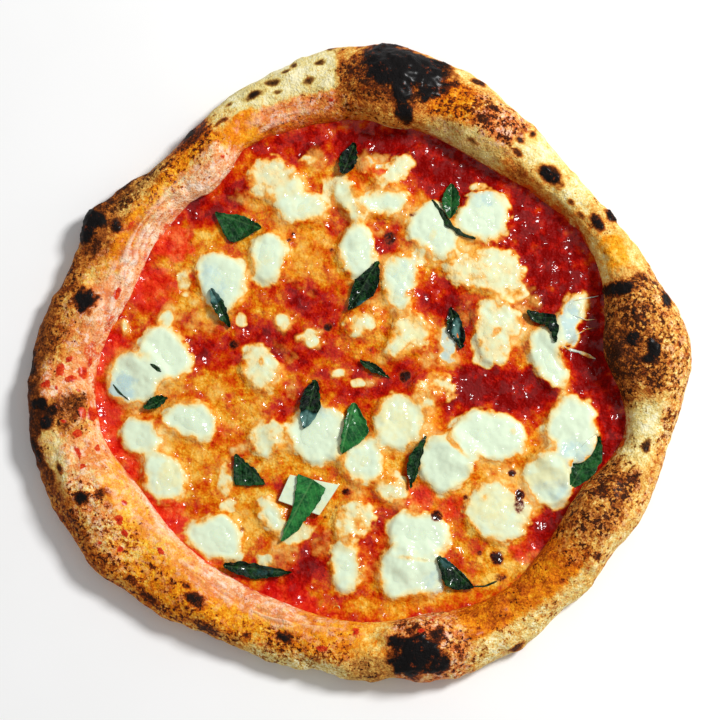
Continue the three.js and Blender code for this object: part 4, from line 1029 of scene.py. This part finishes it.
# Where each leaf starts and ends, and how far it reaches to its left and to its right at five places along
# it, in mm, all as in its solid; then how fresh it is, from 0 to 1.
BASIL = {
    "basil_01": ((-70, 73.5), (-47, 65.5), (0.3, 1.5, 3, 2.5, 0.3), (0.3, 7, 12, 7.5, 0.3), 0.35),
    "basil_02": ((-8, 92), (-2, 108), (1, 4, 4.5, 3, 0.5), (1, 4, 4.5, 3, 0.5), 0.0),
    "basil_03": ((44.5, 69.5), (45, 87.5), (0.5, 4, 4.6, 3.5, 0.5), (0.5, 3.2, 4.5, 3.5, 0.5), 0.6),
    "basil_04": ((9.5, 49), (-5, 24.5), (0.5, 5, 7.2, 4.5, 0.3), (0.5, 2.5, 5.2, 3, 0.3), 0.05),
    "basil_05": ((-71.5, 35.5), (-62, 16.5), (0.5, 2.5, 3, 2, 0.3), (0.5, 2.6, 3.2, 2.5, 0.3), 0.15),
    "basil_06": ((44, 26.5), (49.5, 6), (0.5, 3, 3.6, 3.2, 1), (0.5, 3, 5, 2.5, 0.8), 0.0),
    "basil_07": ((81, 24.5), (94.5, 8), (0.5, 4.7, 9, 6.3, 0.8), (0.5, 2.2, -1.5, -1.5, 0.8), 0.0),
    "basil_08": ((0.5, 0.5), (15.5, -8.5), (0.3, 2, 2.3, 1.2, 0.3), (0.3, 1.9, 2.2, 1.2, 0.3), 0.15),
    "basil_09": ((-20.5, -9), (-26, -33), (1, 3.6, 5.5, 4.6, 0.5), (1, 4, 5, 3.5, 0.5), 0.0),
    "basil_10": ((-2, -20), (-8, -45), (0.8, 7, 11, 7, 1.2), (0.8, 2.6, 2.2, 2, 0.8), 0.85),
    "basil_11": ((32.5, -36.5), (25, -62), (0.3, 0.9, 1, 0.9, 0.3), (0.3, 3.2, 5.5, 3.6, 0.3), 0.1),
    "basil_12": ((101, -61), (115, -36), (1, 4, 5, 4, 1), (1, 6, 8, 6, 1), 0.35),
    "basil_13": ((-59, -45), (-44, -59.5), (0.5, 1.2, 1.6, 1.2, 0.3), (0.5, 6.5, 11, 6, 0.3), 0.15),
    "basil_14": ((-21.5, -57.5), (-37, -87), (7.5, 7.6, 6.6, 5, 0.8), (8, 5, 1.8, 0.8, 0.6), 1.0),
    "basil_15": ((-64, -98.5), (-31, -101.5), (1, 2.8, 2.5, 1.5, 0.3), (1, 3.6, 5, 3, 0.3), 0.05),
    "basil_16": ((38, -94), (55, -109), (1, 1.5, 1.8, 1.3, 0.3), (1, 5, 8.6, 6.4, 0.5), 0.05),
    "basil_17": ((-103, -23), (-91.5, -17.5), (0.5, 2.5, 3.2, 2.5, 0.5), (0.5, 2, 2.8, 2, 0.5), 0.2),
}

# Where cheese ran over the leaves, as patches in the dish. The patch at (47.3, 15) on basil_06 is a
# painted highlight.
COVERED = [
    (-25, -29, 6, 5, 0, 1), (47.3, 15, 2.2, 5, 10, 1), (-69, 32, 3.4, 3.4, 0, 0.9), (2, 27, 3, 3, 0, 0.7),
    (-47, -101, 9, 2, 0, 0.5), (4, 104, 3, 4, 0, 0.6), (84, 14, 4, 3, 40, 0.5), (42, -97, 3, 3, 0, 0.7),
]
covered = patches(COVERED, plan_ragged)


def leaf_blade(node, start, end, left, right, fresh, seed):
    """A leaf laid along its solid, with a sunk midrib, side veins and puckers between them."""
    solid = skin_of(node)
    start, end = np.array(start), np.array(end)
    length = end - start
    leftward = np.array([-length[1], length[0]]) / np.linalg.norm(length)
    share = np.linspace(0, 1, LEAF_ROWS)
    given = np.linspace(0, 1, len(left))
    reaches = [soften(np.interp(share, given, side), [1.8], [False]) for side in (left, right)]
    nicks = [np.abs(lumps(np.stack([share * 40, 0 * share, 0 * share], 1), 3, seed + i)) for i in (0, 50)]
    reach_left, reach_right = (reach + 0.35 - 0.9 * nick for reach, nick in zip(reaches, nicks))
    column = np.linspace(0, 1, LEAF_COLUMNS)
    across = -reach_right[:, None] + column * (reach_left + reach_right)[:, None]
    spot = start + share[:, None, None] * length + across[..., None] * leftward
    height = np.zeros(across.shape)
    for cell in np.ndindex(across.shape):
        x, y = ORIGIN[:2] + spot[cell] * MM
        top = top_of(solid, x, y) or solid.find_nearest(Vector((x, y, 0.2 * ABOVE)))[0].z
        height[cell] = top / MM
    height = soften(height, [1.2, 0.9], [False, False])
    along = share[:, None] * np.linalg.norm(length)
    vein = (along - 1.1 * np.abs(across)) / 3.6
    pucker = np.abs(np.sin(math.pi * vein)) ** 0.7
    rib = np.exp(-((across / 0.55) ** 2))
    mm = np.concatenate([spot, height[..., None]], -1)
    wilt = 1 - fresh
    crumple = (0.3 + 0.5 * wilt) * lumps(mm, 4.5, seed) + 0.5 * wilt * lumps(mm, 2.2, seed + 1)
    mm[..., 2] += 0.14 * pucker * (1 - rib) - 0.3 * rib + crumple - 0.15
    upper = mm[1:-1] * MM + ORIGIN
    lower = upper[:, ::-1] - [0, 0, LEAF_THICK * MM]
    rings = np.concatenate([upper, lower], axis=1)[:, ::-1]
    blade = closed_rings(node + "_leaf", mm[0].mean(0) * MM + ORIGIN, rings, mm[-1].mean(0) * MM + ORIGIN)
    both = np.stack([across, vein], -1)
    both = np.concatenate([both, both[:, ::-1]], axis=1)[1:-1][:, ::-1]
    for number, name in enumerate(("across", "vein")):
        note(blade, **{name: np.concatenate([[0], both[..., number].ravel(), [0]])})
    note(blade, fresh=fresh, covered=at_plan(covered, *places_of(blade.data)[:, :2].T))
    return blade


def make_leaf_finish():
    looks = {"Roughness": 0.5, "Specular IOR Level": 0.1, "Coat Roughness": 0.14}
    material, tree, shader, place = finish_named("Basil leaf", looks)
    fresh = mask_of(tree, "fresh")
    cloud = noise(tree, place, 4, 4, 0.6, 1)
    fine = noise(tree, place, 1.2, 3, 0.6, 7)
    shade = total(tree, 0.5, (cloud, 1.6), (fine, 0.8))
    wilted = ramp(tree, shade, (0.3, 1, 8, 6), (0.55, 4, 26, 12), (0.8, 26, 66, 26))
    green = ramp(tree, shade, (0.3, 14, 78, 34), (0.7, 50, 130, 60))
    colour = lay(tree, wilted, green, fresh)
    side = add(tree, "Math", {0: mask_of(tree, "vein"), 1: 0.5}, operation="PINGPONG").outputs[0]
    line = sums(tree, "SUBTRACT", 1.0, rise(tree, side, 0.02, 0.12))
    across = add(tree, "Math", {0: mask_of(tree, "across")}, operation="ABSOLUTE").outputs[0]
    rib = sums(tree, "SUBTRACT", 1.0, rise(tree, across, 0.15, 0.6))
    veins = sums(tree, "MAXIMUM", times(tree, line, 0.45), times(tree, rib, 0.8))
    colour = lay(tree, colour, hue(112, 156, 92), times(tree, veins, total(tree, (fresh, 0.2), 0.15)))
    # Cheese over the leaves, and on basil_06 a painted highlight.
    over = total(tree, mask_of(tree, "covered"), (noise(tree, place, 2.6, 3, 0.6, 9), 1.2))
    milky = ramp(tree, over, (0.35, 14, 44, 36), (0.7, 40, 80, 76), (1, 92, 132, 124))
    colour = lay(tree, colour, milky, rise(tree, over, 0.3, 0.6))
    tree.links.new(colour, shader.inputs["Base Color"])
    oil = rise(tree, noise(tree, place, 2.4, 2, 0.5, 5), -0.02, 0.08)
    dewy = times(tree, oil, total(tree, (fresh, -0.5), 0.75))
    tree.links.new(dewy, shader.inputs["Coat Weight"])
    cells = total(tree, (noise(tree, place, 1.0, 1, 0.5, 2), 0.5), noise(tree, place, 2.2, 1, 0.5, 4))
    crisp = times(tree, cells, total(tree, (fresh, -0.8), (rise(tree, over, 0.2, 0.6), -0.7), 1.0))
    roughen(tree, crisp, 1.4 * MM, shader.inputs["Normal"])
    return material


LEAF_FINISH = make_leaf_finish()
# Torn slivers of leaf, some of them half sunk in the cheese.
SLIVERS = [
    (1.5, (35, 80), (40, 73), (44, 66), (50, 62), (57, 59.5)), (0.7, (54, -108), (60, -108), (66, -105.5)),
    (0.8, (-100, -1.5), (-97, -3.5), (-94.5, -5.5)), (0.6, (-118, -11), (-115, -15), (-110, -19)),
]
slivers = strips("basil_slivers", SLIVERS)
note(slivers, across=2, vein=1, fresh=0, covered=0)
dress(slivers, LEAF_FINISH, None)
for number, (node, shape) in enumerate(BASIL.items()):
    dress(leaf_blade(node, *shape, 300 + 3 * number), LEAF_FINISH, node)

# ==========================================================================================
# Studio
# A plain pale floor, one large soft light high on the right and an even sky, with the camera nearly
# overhead on a long lens.


FLOOR_HALF = 3
FLOOR_LEVEL = -0.2 * MM


def make_floor():
    corners = [(-1, -1), (1, -1), (1, 1), (-1, 1)]
    points = np.array([(x * FLOOR_HALF, y * FLOOR_HALF, FLOOR_LEVEL) for x, y in corners])
    floor = solid_from("floor", points, [(0, 1, 2, 3)])
    material, tree, shader, place = finish_named("Pale floor", {"Roughness": 0.9})
    faint = total(tree, 0.5, noise(tree, place, 60, 2, 0.5))
    tree.links.new(lay(tree, hue(247, 247, 246), hue(252, 252, 252), faint), shader.inputs["Base Color"])
    floor.data.materials.append(material)


make_floor()

AIM = np.array([*DISH_MIDDLE, 8]) * MM
DISTANCE = 1.3
TILT, AZIMUTH = math.radians(10), math.radians(10)
FRAME_WIDTH = 0.48 * 720 * MM  # what the image is wide, at the pizza
OFF_CENTRE = (0.72 * MM, 0.48 * MM)


def aim_lamp(name, turn, climb, distance, size, watts):
    """A round soft lamp, turned to the pizza from a side and a height in degrees."""
    lamp = bpy.data.lights.new(name, "AREA")
    lamp.shape = "DISK"
    lamp.size = size
    lamp.energy = watts
    turn, climb = math.radians(turn), math.radians(climb)
    away = Vector((math.cos(turn) * math.cos(climb), math.sin(turn) * math.cos(climb), math.sin(climb)))
    holder = bpy.data.objects.new(name, lamp)
    holder.location = Vector(AIM) + away * distance
    holder.rotation_euler = away.to_track_quat("Z", "Y").to_euler()
    bpy.context.collection.objects.link(holder)


aim_lamp("key_light", 28, 47, 1.8, 0.45, 31)
sky = bpy.data.worlds.new("sky")
sky.use_nodes = True
sky.node_tree.nodes["Background"].inputs["Color"].default_value = (1, 1, 1, 1)
sky.node_tree.nodes["Background"].inputs["Strength"].default_value = 0.38
bpy.context.scene.world = sky
bpy.context.scene.view_settings.view_transform = "Standard"


def place_camera():
    lens = bpy.data.cameras.new("camera")
    lens.sensor_width = 36
    lens.lens = 36 * DISTANCE / FRAME_WIDTH
    camera = bpy.data.objects.new("camera", lens)
    lean = math.sin(TILT)
    back = np.array([math.sin(AZIMUTH) * lean, -math.cos(AZIMUTH) * lean, math.cos(TILT)])
    level = np.array([math.cos(AZIMUTH), math.sin(AZIMUTH), 0])
    up = np.cross(back, level)
    right = level * math.cos(AZIMUTH) - up * math.sin(AZIMUTH)
    top = level * math.sin(AZIMUTH) + up * math.cos(AZIMUTH)
    eye = AIM + back * DISTANCE + right * OFF_CENTRE[0] + top * OFF_CENTRE[1]
    turn = Matrix([(*row, 0) for row in np.stack([right, top, back], 1)] + [(0, 0, 0, 1)])
    camera.matrix_world = Matrix.Translation(Vector(eye)) @ turn
    bpy.context.collection.objects.link(camera)
    bpy.context.scene.camera = camera


place_camera()
